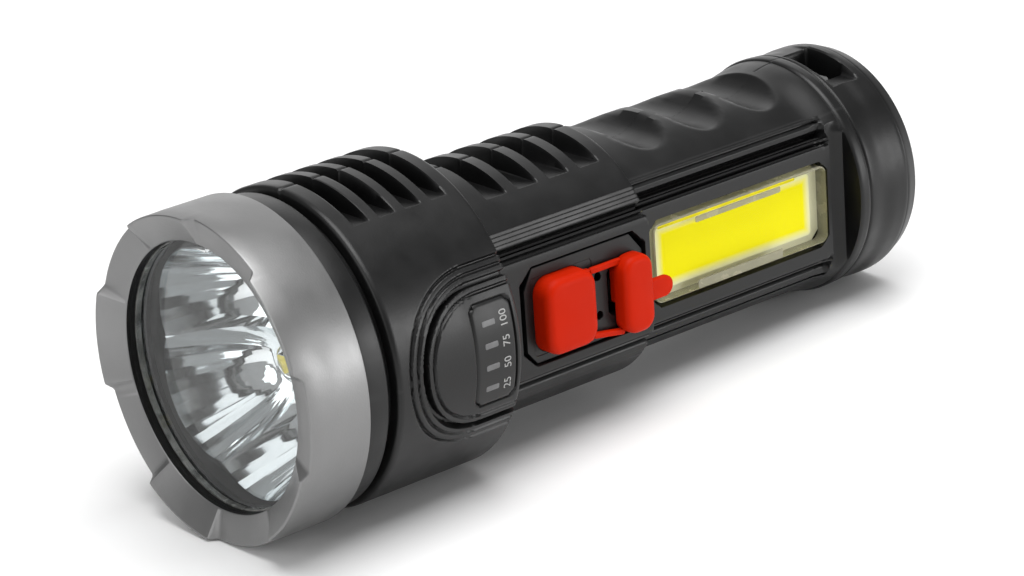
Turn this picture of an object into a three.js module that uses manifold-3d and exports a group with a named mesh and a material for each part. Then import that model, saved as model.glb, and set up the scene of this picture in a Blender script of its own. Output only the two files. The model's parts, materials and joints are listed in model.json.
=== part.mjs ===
// A hand torch with a five-lamp head, a side floodlight and a charging port.
// Millimetres. The beam points along +X, the control panel faces +Y and the
// cooling fins, finger grooves and lanyard eye are on top, +Z. The origin is
// the centre of the flat tail face.
import * as THREE from "three";
import { mergeVertices } from "three/addons/utils/BufferGeometryUtils.js";
import Module from "manifold-3d";

const wasm = await Module();
wasm.setup();

// ---------------------------------------------------------------- clearances
const RUNNING_GAP = 0.3; // between a part and what it fits or slides in
const SEGMENTS = 48; // facets round the big turned parts
const CUT = 40; // how far a cutter reaches past what it cuts

// ------------------------------------------------------- lengths along the body
const TAIL_CAP_LENGTH = 12.5;
const FLARE_LENGTH = 9.2; // bead and flare in front of the tail cap
const GRIP_LENGTH = 42.0;
const MID_LENGTH = 35.1;
const HEAD_LENGTH = 25.8;
const COLLAR_NECK = 1.4; // dark groove between the head and the collar
const COLLAR_LENGTH = 4.7;
const BEZEL_LENGTH = 12.0; // to the floor of the rim's notches
const RIM_LUG_HEIGHT = 1.5;
const RIM_NOTCH = 14.0; // width of the floor of each notch

const GRIP_START = TAIL_CAP_LENGTH + FLARE_LENGTH;
const MID_START = GRIP_START + GRIP_LENGTH;
const HEAD_START = MID_START + MID_LENGTH;
const HEAD_END = HEAD_START + HEAD_LENGTH;
const COLLAR_START = HEAD_END + COLLAR_NECK;
const BEZEL_START = COLLAR_START + COLLAR_LENGTH;
const RIM_FLOOR = BEZEL_START + BEZEL_LENGTH;
const RIM_TOP = RIM_FLOOR + RIM_LUG_HEIGHT;

// ------------------------------------------------------------------- radii
const TAIL_RADIUS = 21.5;
const TAIL_CHAMFER = 1.2;
const TAIL_CHAMFER_LENGTH = 3.0;
const TAIL_WAIST = 0.25; // shallow dip round the tail cap, in front of its middle
const TAIL_WAIST_X = 8.8;
const BEAD_RISE = 0.1; // of the bead, above the tail cap
const GRIP_RADIUS = 20.3;
const MID_RADIUS = 22.45;
const HEAD_RADIUS = 27.5;
const COLLAR_RADIUS = HEAD_RADIUS - 0.7;
const BEZEL_RADIUS = HEAD_RADIUS + 0.5;
const BEZEL_LIP = 5.1;
const WINDOW_RADIUS = BEZEL_RADIUS - BEZEL_LIP; // clear opening in front of the lens
const EDGE = 0.4; // small chamfer on outer edges

// -------------------------------------------------------------- inside bores
const GRIP_WALL = 4.7;
const MID_WALL = 5.15;
const HEAD_WALL = 5.9;
const GRIP_BORE = GRIP_RADIUS - GRIP_WALL;
const MID_BORE = MID_RADIUS - MID_WALL;
const HEAD_BORE = HEAD_RADIUS - HEAD_WALL;
const LEDGE_RADIUS = HEAD_BORE - 2.2; // ring that carries the heat spreader
const LEDGE_LENGTH = 2.0;
const LEDGE_SETBACK = 9.0; // from the collar's seat to the spreader's
const COLLAR_SEAT_RADIUS = HEAD_RADIUS - 3.1;
const COLLAR_SEAT_DEPTH = 3.0;
const TAIL_BORE_DEPTH = 6.0; // round bore that takes the tail cap's spigot
const STEP_WALL = 2.3; // wall left where one bore steps to the next

// -------------------------------------------------------- fins and finger grooves
const HEAD_FIN_FLOOR = HEAD_RADIUS - 4.1;
const HEAD_FIN_SLOT = 3.1;
const HEAD_FIN_PITCH = 5.3;
const HEAD_FIN_COUNT = 4;
const HEAD_FIN_FIRST = 3.1; // rearmost slot, from the head's rear face
const MID_FIN_FLOOR = MID_RADIUS - 3.35;
const MID_FIN_SLOT = 4.2;
const MID_FIN_PITCH = 6.8;
const MID_FIN_COUNT = 4;
const MID_FIN_FIRST = 3.1; // rearmost slot, from the middle section's rear face
const SCOOP_RADIUS = 6.9;
const SCOOP_FLOOR = GRIP_RADIUS - 2.9;
const SCOOP_PITCH = 13.3;
const SCOOP_COUNT = 3;
const SCOOP_FIRST = 4.4; // first scoop's middle, from the start of the grip

// ------------------------------------------------------------- control panel
const MID_PANEL = MID_RADIUS - 2.45; // height of the flat on the middle section
const GRIP_PANEL = GRIP_RADIUS - 2.9; // height of the flat round the floodlight
const GUTTER_LENGTH = 2.6; // between the flat's rear end and the tail cap's bead
const GUTTER_FLOOR = GRIP_PANEL - 1.5;
const BEAD_LENGTH = 2.5;
const BEAD_END = TAIL_CAP_LENGTH + BEAD_LENGTH;
const GROOVE_LOW = 10.9; // deep groove beside the flat
const GROOVE_HIGH = 12.6;
const GROOVE_DEPTH = 1.9;
const RIB_LINES = [13.2, 14.1]; // fine grooves outside the deep one
const RIB_LINE_WIDTH = 0.45;
const RIB_LINE_DEPTH = 0.5;

// Octagonal pocket and the plate in it.
const POCKET_FRONT = HEAD_START - 6.2;
const POCKET_REAR = MID_START + 1.0;
const POCKET_HALF = 8.8;
const POCKET_CORNER = 2.8;
const POCKET_FLOOR = MID_PANEL - 2.4;
const POCKET_WALL = 2.0; // under the pocket's floor
const MID_BORE_FLAT = POCKET_FLOOR - POCKET_WALL;
const PLATE_MARGIN = 1.0; // shadow gap round the plate
const PLATE_THICKNESS = 1.8;
const LEDGE_WIDTH = 0.7; // pocket floor left under the plate's edge
const PLATE_TOP = POCKET_FLOOR + PLATE_THICKNESS;

// Push button, in the front of the pocket.
const BUTTON_FRONT = POCKET_FRONT - 3.4;
const BUTTON_LENGTH = 11.0;
const BUTTON_REAR = BUTTON_FRONT - BUTTON_LENGTH;
const BUTTON_MIDDLE = (BUTTON_REAR + BUTTON_FRONT) / 2;
const BUTTON_HALF = 6.2;
const BUTTON_TOP = MID_PANEL + 3.4;
const BUTTON_CORNER = 1.6;
const BUTTON_TOP_INSET = 0.9;
const BOOT_THICKNESS = 0.8;
const BOOT_WIDTH = 0.6;
const PUSHER_RADIUS = 2.2;
const PUSHER_LENGTH = 0.7;

// Port cover, hinged on two straps behind the button.
const COVER_REAR = MID_START + 2.4;
const COVER_LENGTH = 6.1;
const COVER_HALF = 6.6;
const COVER_TOP = MID_PANEL + 3.0;
const COVER_CORNER = 1.8;
const STRAP_THICKNESS = 1.0;
const STRAP_WIDTH = 1.2;
const STRAP_OFFSET = 5.6;
const STRAP_ROOT = BUTTON_REAR - 1.0; // hinge line of the straps
const PLUG_LENGTH = 3.2;
const PLUG_HALF = 3.2;
const PLUG_DEPTH = 1.5;
const TAB_WIDTH = 3.7;
const TAB_LENGTH = 6.1;
const TAB_OFFSET = -2.4;
const TAB_THICKNESS = 1.0;
const PORT_HALF = 4.3;
const PORT_FRONT = COVER_REAR + COVER_LENGTH + 0.9;
const PORT_REAR = COVER_REAR + 0.8;
const PIN_HOLE_RADIUS = 0.75;
const PIN_HOLE_SPACING = 6.9;

// ---------------------------------------------------------- charge indicator
const U_CENTRE = HEAD_START + 7.7; // middle of the U-shaped ribs' round end
const U_LINES = [
  { radius: 15.8, width: 0.5, depth: 0.5 },
  { radius: 14.1, width: 0.5, depth: 0.5 },
  { radius: 12.4, width: 1.3, depth: 1.2 },
];
const GAUGE_REAR = HEAD_START + 1.2;
const GAUGE_LENGTH = 8.5;
const GAUGE_HALF = 8.9;
const GAUGE_CORNER = 1.2;
const GAUGE_THICKNESS = 1.35;
const GAUGE_LED_COUNT = 4;
const GAUGE_LED_PITCH = 3.85;
const GAUGE_LED_X = HEAD_START + 6.9;
const PIPE_LENGTH = 2.0;
const PIPE_WIDTH = 0.9;
const PIPE_TOP = HEAD_RADIUS - 2.7;
const GUIDE_THICKNESS = 0.8;
const GUIDE_HALF = 7.6;
const GUIDE_GAP = 0.2; // between the guide's ends and the head's bore
const GUIDE_TOP = Math.sqrt(HEAD_BORE ** 2 - GUIDE_HALF ** 2) - GUIDE_GAP;
const GUIDE_BASE = GUIDE_TOP - GUIDE_THICKNESS;
const GAUGE_BOARD_TOP = GUIDE_BASE - 1.0;
const GAUGE_BOARD_THICKNESS = 1.0;
const GAUGE_BOARD_HALF_LENGTH = 2.5;
const GAUGE_LED_HALF_LENGTH = 0.8;
const GAUGE_LED_HALF_WIDTH = 0.4;

// ------------------------------------------------------------ side floodlight
const COB_FRONT = MID_START - 2.9;
const COB_REAR = GRIP_START - 2.0;
const COB_MIDDLE = (COB_FRONT + COB_REAR) / 2;
const COB_HALF = 7.06;
const COB_CORNER = 1.6;
const COB_LENS_TOP = GRIP_PANEL + 0.4;
const COB_LENS_WALL = 1.5;
const COB_LENS_ROOF = 1.0;
const COB_FLOOR = GRIP_PANEL - 3.4;
const COB_WALL = 1.2; // housing left under the floodlight
const GRIP_BORE_FLAT = COB_FLOOR - COB_WALL;
const COB_BOARD_THICKNESS = 1.0;
const COB_BOARD_TOP = COB_FLOOR + COB_BOARD_THICKNESS;
const PHOSPHOR_LENGTH = COB_FRONT - COB_REAR - 6.5;
const PHOSPHOR_HALF = 4.9;
const PHOSPHOR_THICKNESS = 0.6;

// --------------------------------------------------------------- lamp head
const LENS_THICKNESS = 2.1;
const LENS_SEAL_THICKNESS = 1.0;
const LIP_THICKNESS = 2.1; // bezel lip in front of the seal
const BEZEL_BORE = BEZEL_RADIUS - 2.8;
const FLANGE_THICKNESS = 1.2;
const COLLAR_BORE = COLLAR_SEAT_RADIUS - RUNNING_GAP - 0.9;
const CUP_COUNT = 5;
const CUP_MOUTH = 9.3;
const CUP_THROAT = 2.6;
const CUP_WALL = 0.8;
const CUP_CLEARANCE = 0.5; // between the outermost cup wall and the collar's bore
const CUP_RING = COLLAR_BORE - CUP_CLEARANCE - CUP_WALL - CUP_MOUTH; // circle of the lamp centres
const CUP_DEPTH = 17.8;
const CUP_SEGMENTS = 18;
const LAMP_ANGLE = THREE.MathUtils.degToRad(34);
const LAMP_STEP = (2 * Math.PI) / CUP_COUNT;
const LED_BOARD_RADIUS = HEAD_BORE - 2 * RUNNING_GAP;
const LED_BOARD_THICKNESS = 1.6;
const SPREADER_THICKNESS = 3.0;
const LED_SIZE = 3.5;
const LED_BASE = 0.8;
const LED_DOME = 1.4;

// --------------------------------------------------------- power and electronics
const CELL_RADIUS = 9.1;
const CELL_LENGTH = 65.0;
const CELL_END = HEAD_START - 7.8;
const CELL_START = CELL_END - CELL_LENGTH;
const SLED_WALL = 1.75;
const SLED_CLEARANCE = 0.85; // between the sled and the bottom of the grip's bore
const CELL_AXIS = CELL_RADIUS + RUNNING_GAP + SLED_WALL + SLED_CLEARANCE - GRIP_BORE;
const SLED_TOP = CELL_AXIS + 5.1;
const SLED_END_WALL = 1.2;
const BOARD_DROP = 5.4; // from the pocket's floor down to the board's top
const BOARD_TOP = POCKET_FLOOR - BOARD_DROP;
const BOARD_THICKNESS = 1.6;
const BOARD_BOTTOM = BOARD_TOP - BOARD_THICKNESS;
const BOARD_REAR = MID_START + STEP_WALL + 0.5;
const BOARD_LENGTH = 32.0;
const BOARD_HALF = 11.9;
const POST_RADIUS = 1.3;
const POST_OFFSET = 9.2;
const POST_PLACES = [3.5, 22.5]; // from the board's rear edge
const SCREW_HEAD_RADIUS = 1.5;
const SCREW_HEAD_HEIGHT = 1.0;
const SCREW_SHANK_RADIUS = 0.8;
const SCREW_LENGTH = 5.0;
const SWITCH_SIZE = 6.2;
const SWITCH_HEIGHT = 3.6;
const PLUNGER_RADIUS = 1.7;
const PLUNGER_LENGTH = 2.3;
const SOCKET_HALF = 3.75;
const SOCKET_THICKNESS = 2.8;
const SOCKET_HEIGHT = 5.8;
const SOCKET_WALL = 0.4;
const SOCKET_BASE = 1.0;
const TAB_STRIP = 0.3;
const TAB_STRIP_HALF = 2.5;
const LEAD_RADIUS = 0.55;
const LEAD_OFFSET = 4.0;

// -------------------------------------------------------------- lanyard eye
const EYE_REAR = 5.2;
const EYE_LENGTH = 6.0;
const EYE_RECESS = TAIL_RADIUS - 3.5;
const EYE_FLOOR = EYE_RECESS - 3.2;
const EYE_HALF = 7.5;
const EYE_SLOT_HALF = 4.5;
const SPIGOT_LENGTH = 4.5;
const SPIGOT_RADIUS = GRIP_BORE - RUNNING_GAP;
const SEAL_GROOVE = [1.5, 3.1]; // from the spigot's root
const SEAL_GROOVE_DEPTH = 1.0;
const SPIGOT_WALL = 1.3; // inside the seal's groove
const CAP_WALL = 4.0;
const CAP_BORE = SPIGOT_RADIUS - SEAL_GROOVE_DEPTH - SPIGOT_WALL;
const SEAL_SQUEEZE = 0.1; // the seal's slack in its groove

// ------------------------------------------------------------------ materials
function finish(color, roughness, metalness = 0, more = {}) {
  return new THREE.MeshStandardMaterial({ color, roughness, metalness, ...more });
}

const BLACK_ABS = finish(0x232324, 0.45);
const GUNMETAL = finish(0xa3a5a7, 0.35, 0.7);
const RED_SILICONE = finish(0xd0260c, 0.5);
const BLACK_RUBBER = finish(0x101010, 0.8);
const CLEAR = finish(0xe8eef2, 0.05, 0, { transparent: true, opacity: 0.35 });
const SMOKED = finish(0x3a3a3c, 0.3);
const MIRROR = finish(0xd8dcde, 0.08, 1);
const ALUMINIUM = finish(0xc9ccd0, 0.4, 0.9);
const CIRCUIT = finish(0x1f5c3a, 0.5);
const PHOSPHOR = finish(0xf7ea00, 0.6);
const WHITE_BOARD = finish(0xf0f0ee, 0.5);
const NICKEL = finish(0xb9bcc0, 0.3, 1);
const CELL_WRAP = finish(0x2f6fb0, 0.4);
const GREY_ABS = finish(0x4a4c4e, 0.6);

// ------------------------------------------------------------- solid helpers
// A closed geometry as a solid, with repeated corners merged.
function solid(geometry) {
  const bare = geometry.clone();
  bare.deleteAttribute("normal");
  bare.deleteAttribute("uv");
  const merged = mergeVertices(bare, 1e-4);
  const corners = merged.attributes.position.array;
  const triangles = [];
  let volume = 0;
  for (let i = 0; i < merged.index.count; i += 3) {
    const [a, b, c] = [0, 1, 2].map((k) => merged.index.array[i + k]);
    if (a === b || b === c || c === a) continue;
    triangles.push([a, b, c]);
    volume += signedVolume(corners, a, b, c);
  }
  const order = volume < 0 ? [0, 2, 1] : [0, 1, 2];
  const triVerts = new Uint32Array(triangles.flatMap((t) => order.map((k) => t[k])));
  const vertProperties = new Float32Array(corners);
  return new wasm.Manifold(new wasm.Mesh({ numProp: 3, vertProperties, triVerts }));
}

function signedVolume(corners, a, b, c) {
  const [p, q, r] = [a, b, c].map((i) => new THREE.Vector3().fromArray(corners, 3 * i));
  return p.dot(q.cross(r));
}

function geometryOf(body) {
  const mesh = body.getMesh();
  const geometry = new THREE.BufferGeometry();
  geometry.setAttribute("position", new THREE.BufferAttribute(mesh.vertProperties, 3));
  geometry.setIndex(new THREE.BufferAttribute(mesh.triVerts, 1));
  geometry.computeVertexNormals();
  return geometry;
}

function join(...bodies) {
  return bodies.reduce((whole, body) => whole.add(body));
}

function cut(body, ...tools) {
  return tools.reduce((rest, tool) => rest.subtract(tool), body);
}

// A profile of [x, radius] corners turned about the X axis.
function turned(profile, segments = SEGMENTS) {
  const points = [...profile, profile[0]].map(([x, radius]) => new THREE.Vector2(radius, x));
  const geometry = new THREE.LatheGeometry(points, segments, Math.PI / segments);
  return solid(geometry.rotateZ(-Math.PI / 2));
}

// A plain disc or, with an inner radius, a ring about the X axis.
function disc(x0, x1, radius, inner = 0, segments = SEGMENTS) {
  return turned([[x0, inner], [x0, radius], [x1, radius], [x1, inner]], segments);
}

// A round peg along Y.
function pegY(x, z, y0, y1, radius, segments = 16) {
  const geometry = new THREE.CylinderGeometry(radius, radius, y1 - y0, segments);
  return solid(geometry.translate(x, (y0 + y1) / 2, z));
}

function box(x0, x1, y0, y1, z0, z1) {
  const geometry = new THREE.BoxGeometry(x1 - x0, y1 - y0, z1 - z0);
  return solid(geometry.translate((x0 + x1) / 2, (y0 + y1) / 2, (z0 + z1) / 2));
}

const X_AXIS = new THREE.Vector3(1, 0, 0);
const Y_AXIS = new THREE.Vector3(0, 1, 0);
const Z_AXIS = new THREE.Vector3(0, 0, 1);

// An outline drawn in X and Z, filled from y0 to y1.
function prismY(outline, y0, y1, curveSegments = 8) {
  const options = { depth: y1 - y0, bevelEnabled: false, curveSegments };
  const geometry = new THREE.ExtrudeGeometry(outline, options);
  const basis = new THREE.Matrix4().makeBasis(X_AXIS, Z_AXIS, Y_AXIS.clone().negate());
  return solid(geometry.applyMatrix4(basis).translate(0, y1, 0));
}

// An outline drawn in Y and Z, filled from x0 to x1.
function prismX(outline, x0, x1, curveSegments = 24) {
  const options = { depth: x1 - x0, bevelEnabled: false, curveSegments };
  const geometry = new THREE.ExtrudeGeometry(outline, options);
  const basis = new THREE.Matrix4().makeBasis(Y_AXIS, Z_AXIS, X_AXIS);
  return solid(geometry.applyMatrix4(basis).translate(x0, 0, 0));
}

// A rectangle with its four corners cut off, in X and Z.
function octagon(x0, x1, half, corner) {
  const outline = new THREE.Shape();
  outline.moveTo(x0 + corner, -half);
  outline.lineTo(x1 - corner, -half);
  outline.lineTo(x1, -half + corner);
  outline.lineTo(x1, half - corner);
  outline.lineTo(x1 - corner, half);
  outline.lineTo(x0 + corner, half);
  outline.lineTo(x0, half - corner);
  outline.lineTo(x0, -half + corner);
  outline.closePath();
  return outline;
}

// A circle about the body's axis with its +Y side cut flat, in Y and Z.
function flattenedCircle(radius, flat) {
  const angle = Math.acos(flat / radius);
  const outline = new THREE.Shape();
  outline.absarc(0, 0, radius, angle, 2 * Math.PI - angle, false);
  outline.closePath();
  return outline;
}

// A straight groove along X, cut down to a given radius, on one or both sides.
function lengthGroove(x0, x1, z0, z1, floorRadius, backToo = false) {
  const core = disc(x0 - CUT, x1 + CUT, floorRadius);
  const front = [box(x0, x1, 0.1, CUT, z0, z1), box(x0, x1, 0.1, CUT, -z1, -z0)];
  const back = [box(x0, x1, -CUT, -0.1, z0, z1), box(x0, x1, -CUT, -0.1, -z1, -z0)];
  return join(...front, ...(backToo ? back : [])).subtract(core);
}

// ------------------------------------------------------------------- housing
// The ribs run along both sides of the panel and, alone, along the back.
function sideGrooves(x0, x1, radius) {
  const deep = lengthGroove(x0, x1, GROOVE_LOW, GROOVE_HIGH, radius - GROOVE_DEPTH);
  const lines = RIB_LINES.map((z) =>
    lengthGroove(x0, x1, z, z + RIB_LINE_WIDTH, radius - RIB_LINE_DEPTH, true),
  );
  return join(deep, ...lines);
}

// One U-shaped groove round the charge indicator, open to the rear.
function uGroove({ radius, width, depth }) {
  const reach = (arc) => HEAD_RADIUS * Math.sin(arc / HEAD_RADIUS);
  const uOutline = (size) => {
    const outline = new THREE.Shape();
    outline.moveTo(HEAD_START - CUT, -reach(size));
    outline.lineTo(U_CENTRE, -reach(size));
    outline.absellipse(U_CENTRE, 0, size, reach(size), -Math.PI / 2, Math.PI / 2, false);
    outline.lineTo(HEAD_START - CUT, reach(size));
    outline.closePath();
    return outline;
  };
  const band = prismY(uOutline(radius + width / 2), HEAD_BORE, CUT, 10);
  const inside = prismY(uOutline(radius - width / 2), HEAD_BORE - CUT, CUT, 10);
  const core = disc(HEAD_START, HEAD_END, HEAD_RADIUS - depth);
  const head = disc(HEAD_START, HEAD_END, HEAD_RADIUS + CUT);
  return band.intersect(head).subtract(inside).subtract(core);
}

function finSlots(first, pitch, width, count, floor) {
  const slots = [];
  for (let i = 0; i < count; i += 1) {
    const x = first + i * pitch;
    slots.push(box(x, x + width, -CUT, CUT, floor, floor + CUT));
  }
  return slots;
}

function fingerScoops() {
  const scoops = [];
  for (let i = 0; i < SCOOP_COUNT; i += 1) {
    const x = GRIP_START + SCOOP_FIRST + i * SCOOP_PITCH;
    const z = SCOOP_FLOOR + SCOOP_RADIUS;
    scoops.push(pegY(x, z, -CUT, CUT, SCOOP_RADIUS, 32));
  }
  return scoops;
}

function housingOutside() {
  const beadRadius = TAIL_RADIUS + BEAD_RISE;
  return turned([
    [TAIL_CAP_LENGTH, 0],
    [TAIL_CAP_LENGTH, TAIL_RADIUS - 2 * BEAD_RISE],
    [TAIL_CAP_LENGTH + EDGE, beadRadius],
    [BEAD_END - EDGE, beadRadius],
    [BEAD_END, TAIL_RADIUS - 2 * BEAD_RISE],
    [GRIP_START, GRIP_RADIUS],
    [MID_START, GRIP_RADIUS],
    [MID_START, MID_RADIUS - EDGE],
    [MID_START + EDGE, MID_RADIUS],
    [HEAD_START, MID_RADIUS],
    [HEAD_START, HEAD_RADIUS - EDGE],
    [HEAD_START + EDGE, HEAD_RADIUS],
    [HEAD_END - EDGE, HEAD_RADIUS],
    [HEAD_END, HEAD_RADIUS - EDGE],
    [HEAD_END, 0],
  ]);
}

const SPREADER_SEAT = HEAD_END - COLLAR_SEAT_DEPTH - LEDGE_SETBACK;

function housingBores() {
  const gripBore = flattenedCircle(GRIP_BORE, GRIP_BORE_FLAT);
  const midBore = flattenedCircle(MID_BORE, MID_BORE_FLAT);
  const headRear = HEAD_START + STEP_WALL;
  const headBore = turned([
    [headRear, 0],
    [headRear, HEAD_BORE],
    [SPREADER_SEAT - LEDGE_LENGTH, HEAD_BORE],
    [SPREADER_SEAT - LEDGE_LENGTH, LEDGE_RADIUS],
    [SPREADER_SEAT, LEDGE_RADIUS],
    [SPREADER_SEAT, HEAD_BORE],
    [HEAD_END - COLLAR_SEAT_DEPTH, HEAD_BORE],
    [HEAD_END - COLLAR_SEAT_DEPTH, COLLAR_SEAT_RADIUS],
    [HEAD_END + CUT, COLLAR_SEAT_RADIUS],
    [HEAD_END + CUT, 0],
  ]);
  return [
    disc(-CUT, TAIL_CAP_LENGTH + TAIL_BORE_DEPTH, GRIP_BORE),
    prismX(gripBore, TAIL_CAP_LENGTH, MID_START + STEP_WALL),
    prismX(midBore, MID_START + STEP_WALL - 0.1, headRear + 0.1),
    headBore,
  ];
}

const gaugeOutline = (gap) =>
  octagon(GAUGE_REAR - gap, GAUGE_REAR + GAUGE_LENGTH + gap, GAUGE_HALF + gap, GAUGE_CORNER);

function gaugeLedHeights() {
  const middle = (GAUGE_LED_COUNT - 1) / 2;
  return Array.from({ length: GAUGE_LED_COUNT }, (_, i) => (middle - i) * GAUGE_LED_PITCH);
}

function gaugeRecess() {
  const floor = HEAD_RADIUS - GAUGE_THICKNESS - RUNNING_GAP;
  const recess = prismY(gaugeOutline(RUNNING_GAP), HEAD_BORE, CUT);
  const holes = gaugeLedHeights().map((z) => lightPipe(z, GUIDE_BASE, PIPE_TOP + CUT, RUNNING_GAP));
  return [recess.subtract(disc(HEAD_START - CUT, HEAD_END + CUT, floor)), ...holes];
}

function lightPipe(z, y0, y1, gap = 0) {
  const [halfX, halfZ] = [PIPE_LENGTH / 2 + gap, PIPE_WIDTH / 2 + gap];
  return box(GAUGE_LED_X - halfX, GAUGE_LED_X + halfX, y0, y1, z - halfZ, z + halfZ);
}

function panelCuts() {
  const gutterFront = BEAD_END + GUTTER_LENGTH;
  const plateFront = POCKET_FRONT - PLATE_MARGIN;
  const plateRear = POCKET_REAR + PLATE_MARGIN;
  const windowHalf = POCKET_HALF - PLATE_MARGIN - LEDGE_WIDTH;
  return [
    box(MID_START - 0.01, HEAD_START, MID_PANEL, CUT, -CUT, CUT),
    box(BEAD_END, MID_START, GRIP_PANEL, CUT, -CUT, CUT),
    box(BEAD_END, gutterFront, GUTTER_FLOOR, CUT, -CUT, CUT),
    sideGrooves(MID_START, HEAD_START, MID_RADIUS),
    sideGrooves(gutterFront, MID_START, GRIP_RADIUS),
    prismY(octagon(POCKET_REAR, POCKET_FRONT, POCKET_HALF, POCKET_CORNER), POCKET_FLOOR, CUT),
    box(plateRear + LEDGE_WIDTH, plateFront - LEDGE_WIDTH, 0, CUT, -windowHalf, windowHalf),
    prismY(
      octagon(COB_REAR - RUNNING_GAP, COB_FRONT + RUNNING_GAP, COB_HALF + RUNNING_GAP, COB_CORNER),
      COB_FLOOR,
      CUT,
    ),
  ];
}

function housing() {
  const headSlots = finSlots(
    HEAD_START + HEAD_FIN_FIRST, HEAD_FIN_PITCH, HEAD_FIN_SLOT, HEAD_FIN_COUNT, HEAD_FIN_FLOOR,
  );
  const midSlots = finSlots(
    MID_START + MID_FIN_FIRST, MID_FIN_PITCH, MID_FIN_SLOT, MID_FIN_COUNT, MID_FIN_FLOOR,
  );
  return cut(
    housingOutside(),
    ...housingBores(),
    ...headSlots,
    ...midSlots,
    ...fingerScoops(),
    ...U_LINES.map(uGroove),
    ...gaugeRecess(),
    ...panelCuts(),
  );
}

// ------------------------------------------------------------------- tail cap
function tailCap() {
  const [grooveStart, grooveEnd] = SEAL_GROOVE.map((x) => TAIL_CAP_LENGTH + x);
  const outside = turned([
    [0, 0],
    [0, TAIL_RADIUS - TAIL_CHAMFER],
    [TAIL_CHAMFER_LENGTH, TAIL_RADIUS],
    [TAIL_CAP_LENGTH / 2, TAIL_RADIUS],
    [TAIL_WAIST_X, TAIL_RADIUS - TAIL_WAIST],
    [TAIL_CAP_LENGTH, TAIL_RADIUS - BEAD_RISE],
    [TAIL_CAP_LENGTH, SPIGOT_RADIUS],
    [grooveStart, SPIGOT_RADIUS],
    [grooveStart, SPIGOT_RADIUS - SEAL_GROOVE_DEPTH],
    [grooveEnd, SPIGOT_RADIUS - SEAL_GROOVE_DEPTH],
    [grooveEnd, SPIGOT_RADIUS],
    [TAIL_CAP_LENGTH + SPIGOT_LENGTH, SPIGOT_RADIUS],
    [TAIL_CAP_LENGTH + SPIGOT_LENGTH, 0],
  ]);
  const eyeFront = EYE_REAR + EYE_LENGTH;
  return cut(
    outside,
    disc(CAP_WALL, CUT, CAP_BORE),
    box(EYE_REAR, eyeFront, -CUT, CUT, EYE_RECESS, CUT),
    box(EYE_REAR, eyeFront, -EYE_HALF, EYE_HALF, EYE_FLOOR, CUT),
    box(-1, EYE_REAR + 0.1, -EYE_SLOT_HALF, EYE_SLOT_HALF, EYE_FLOOR, EYE_RECESS),
  );
}

function tailSeal() {
  const [start, end] = SEAL_GROOVE.map((x) => TAIL_CAP_LENGTH + x);
  const inner = SPIGOT_RADIUS - SEAL_GROOVE_DEPTH;
  return disc(start, end, GRIP_BORE - SEAL_SQUEEZE, inner + SEAL_SQUEEZE, 32);
}

// ------------------------------------------------------------------ lamp head
const LENS_FRONT = RIM_FLOOR - LIP_THICKNESS - LENS_SEAL_THICKNESS;
const LENS_REAR = LENS_FRONT - LENS_THICKNESS;
const FLANGE_REAR = LENS_REAR - FLANGE_THICKNESS;
const LENS_RADIUS = BEZEL_BORE - RUNNING_GAP;
const CUP_BOTTOM = LENS_REAR - CUP_DEPTH;
const LED_BOARD_FRONT = CUP_BOTTOM - RUNNING_GAP;
const LED_BOARD_REAR = LED_BOARD_FRONT - LED_BOARD_THICKNESS;

function headCollar() {
  const seat = COLLAR_SEAT_RADIUS - RUNNING_GAP;
  const thread = BEZEL_BORE - RUNNING_GAP;
  return turned([
    [HEAD_END - COLLAR_SEAT_DEPTH + RUNNING_GAP, COLLAR_BORE],
    [HEAD_END - COLLAR_SEAT_DEPTH + RUNNING_GAP, seat],
    [HEAD_END, seat],
    [HEAD_END, BEZEL_BORE],
    [COLLAR_START, BEZEL_BORE],
    [COLLAR_START, COLLAR_RADIUS - EDGE],
    [COLLAR_START + EDGE, COLLAR_RADIUS],
    [BEZEL_START - EDGE, COLLAR_RADIUS],
    [BEZEL_START, COLLAR_RADIUS - EDGE],
    [BEZEL_START, thread],
    [FLANGE_REAR, thread],
    [FLANGE_REAR, COLLAR_BORE],
  ]);
}

// Notches between the rim's raised lugs, with sloped ends.
function rimNotch(angle) {
  const half = RIM_NOTCH / 2;
  const slope = RIM_LUG_HEIGHT * 0.9;
  const outline = new THREE.Shape();
  outline.moveTo(RIM_FLOOR, -half);
  outline.lineTo(RIM_TOP + slope, -half - 2 * slope);
  outline.lineTo(RIM_TOP + slope, half + 2 * slope);
  outline.lineTo(RIM_FLOOR, half);
  outline.closePath();
  const degrees = THREE.MathUtils.radToDeg(angle);
  return prismY(outline, WINDOW_RADIUS / 2, CUT).rotate([degrees, 0, 0]);
}

function bezelRing() {
  const lipRear = RIM_FLOOR - LIP_THICKNESS;
  const ring = turned([
    [BEZEL_START, BEZEL_BORE],
    [BEZEL_START, BEZEL_RADIUS - EDGE],
    [BEZEL_START + EDGE, BEZEL_RADIUS],
    [RIM_TOP - 2 * EDGE, BEZEL_RADIUS],
    [RIM_TOP, BEZEL_RADIUS - 2 * EDGE],
    [RIM_TOP, WINDOW_RADIUS + EDGE],
    [RIM_TOP - EDGE, WINDOW_RADIUS],
    [lipRear, WINDOW_RADIUS],
    [lipRear, BEZEL_BORE],
  ]);
  const notches = lampAngles().map((angle) => rimNotch(angle + LAMP_STEP / 2));
  return cut(ring, ...notches);
}

function lensSeal() {
  return disc(LENS_FRONT, LENS_FRONT + LENS_SEAL_THICKNESS, LENS_RADIUS, WINDOW_RADIUS, 32);
}

function lampAngles() {
  return Array.from({ length: CUP_COUNT }, (_, i) => LAMP_ANGLE + i * LAMP_STEP);
}

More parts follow.
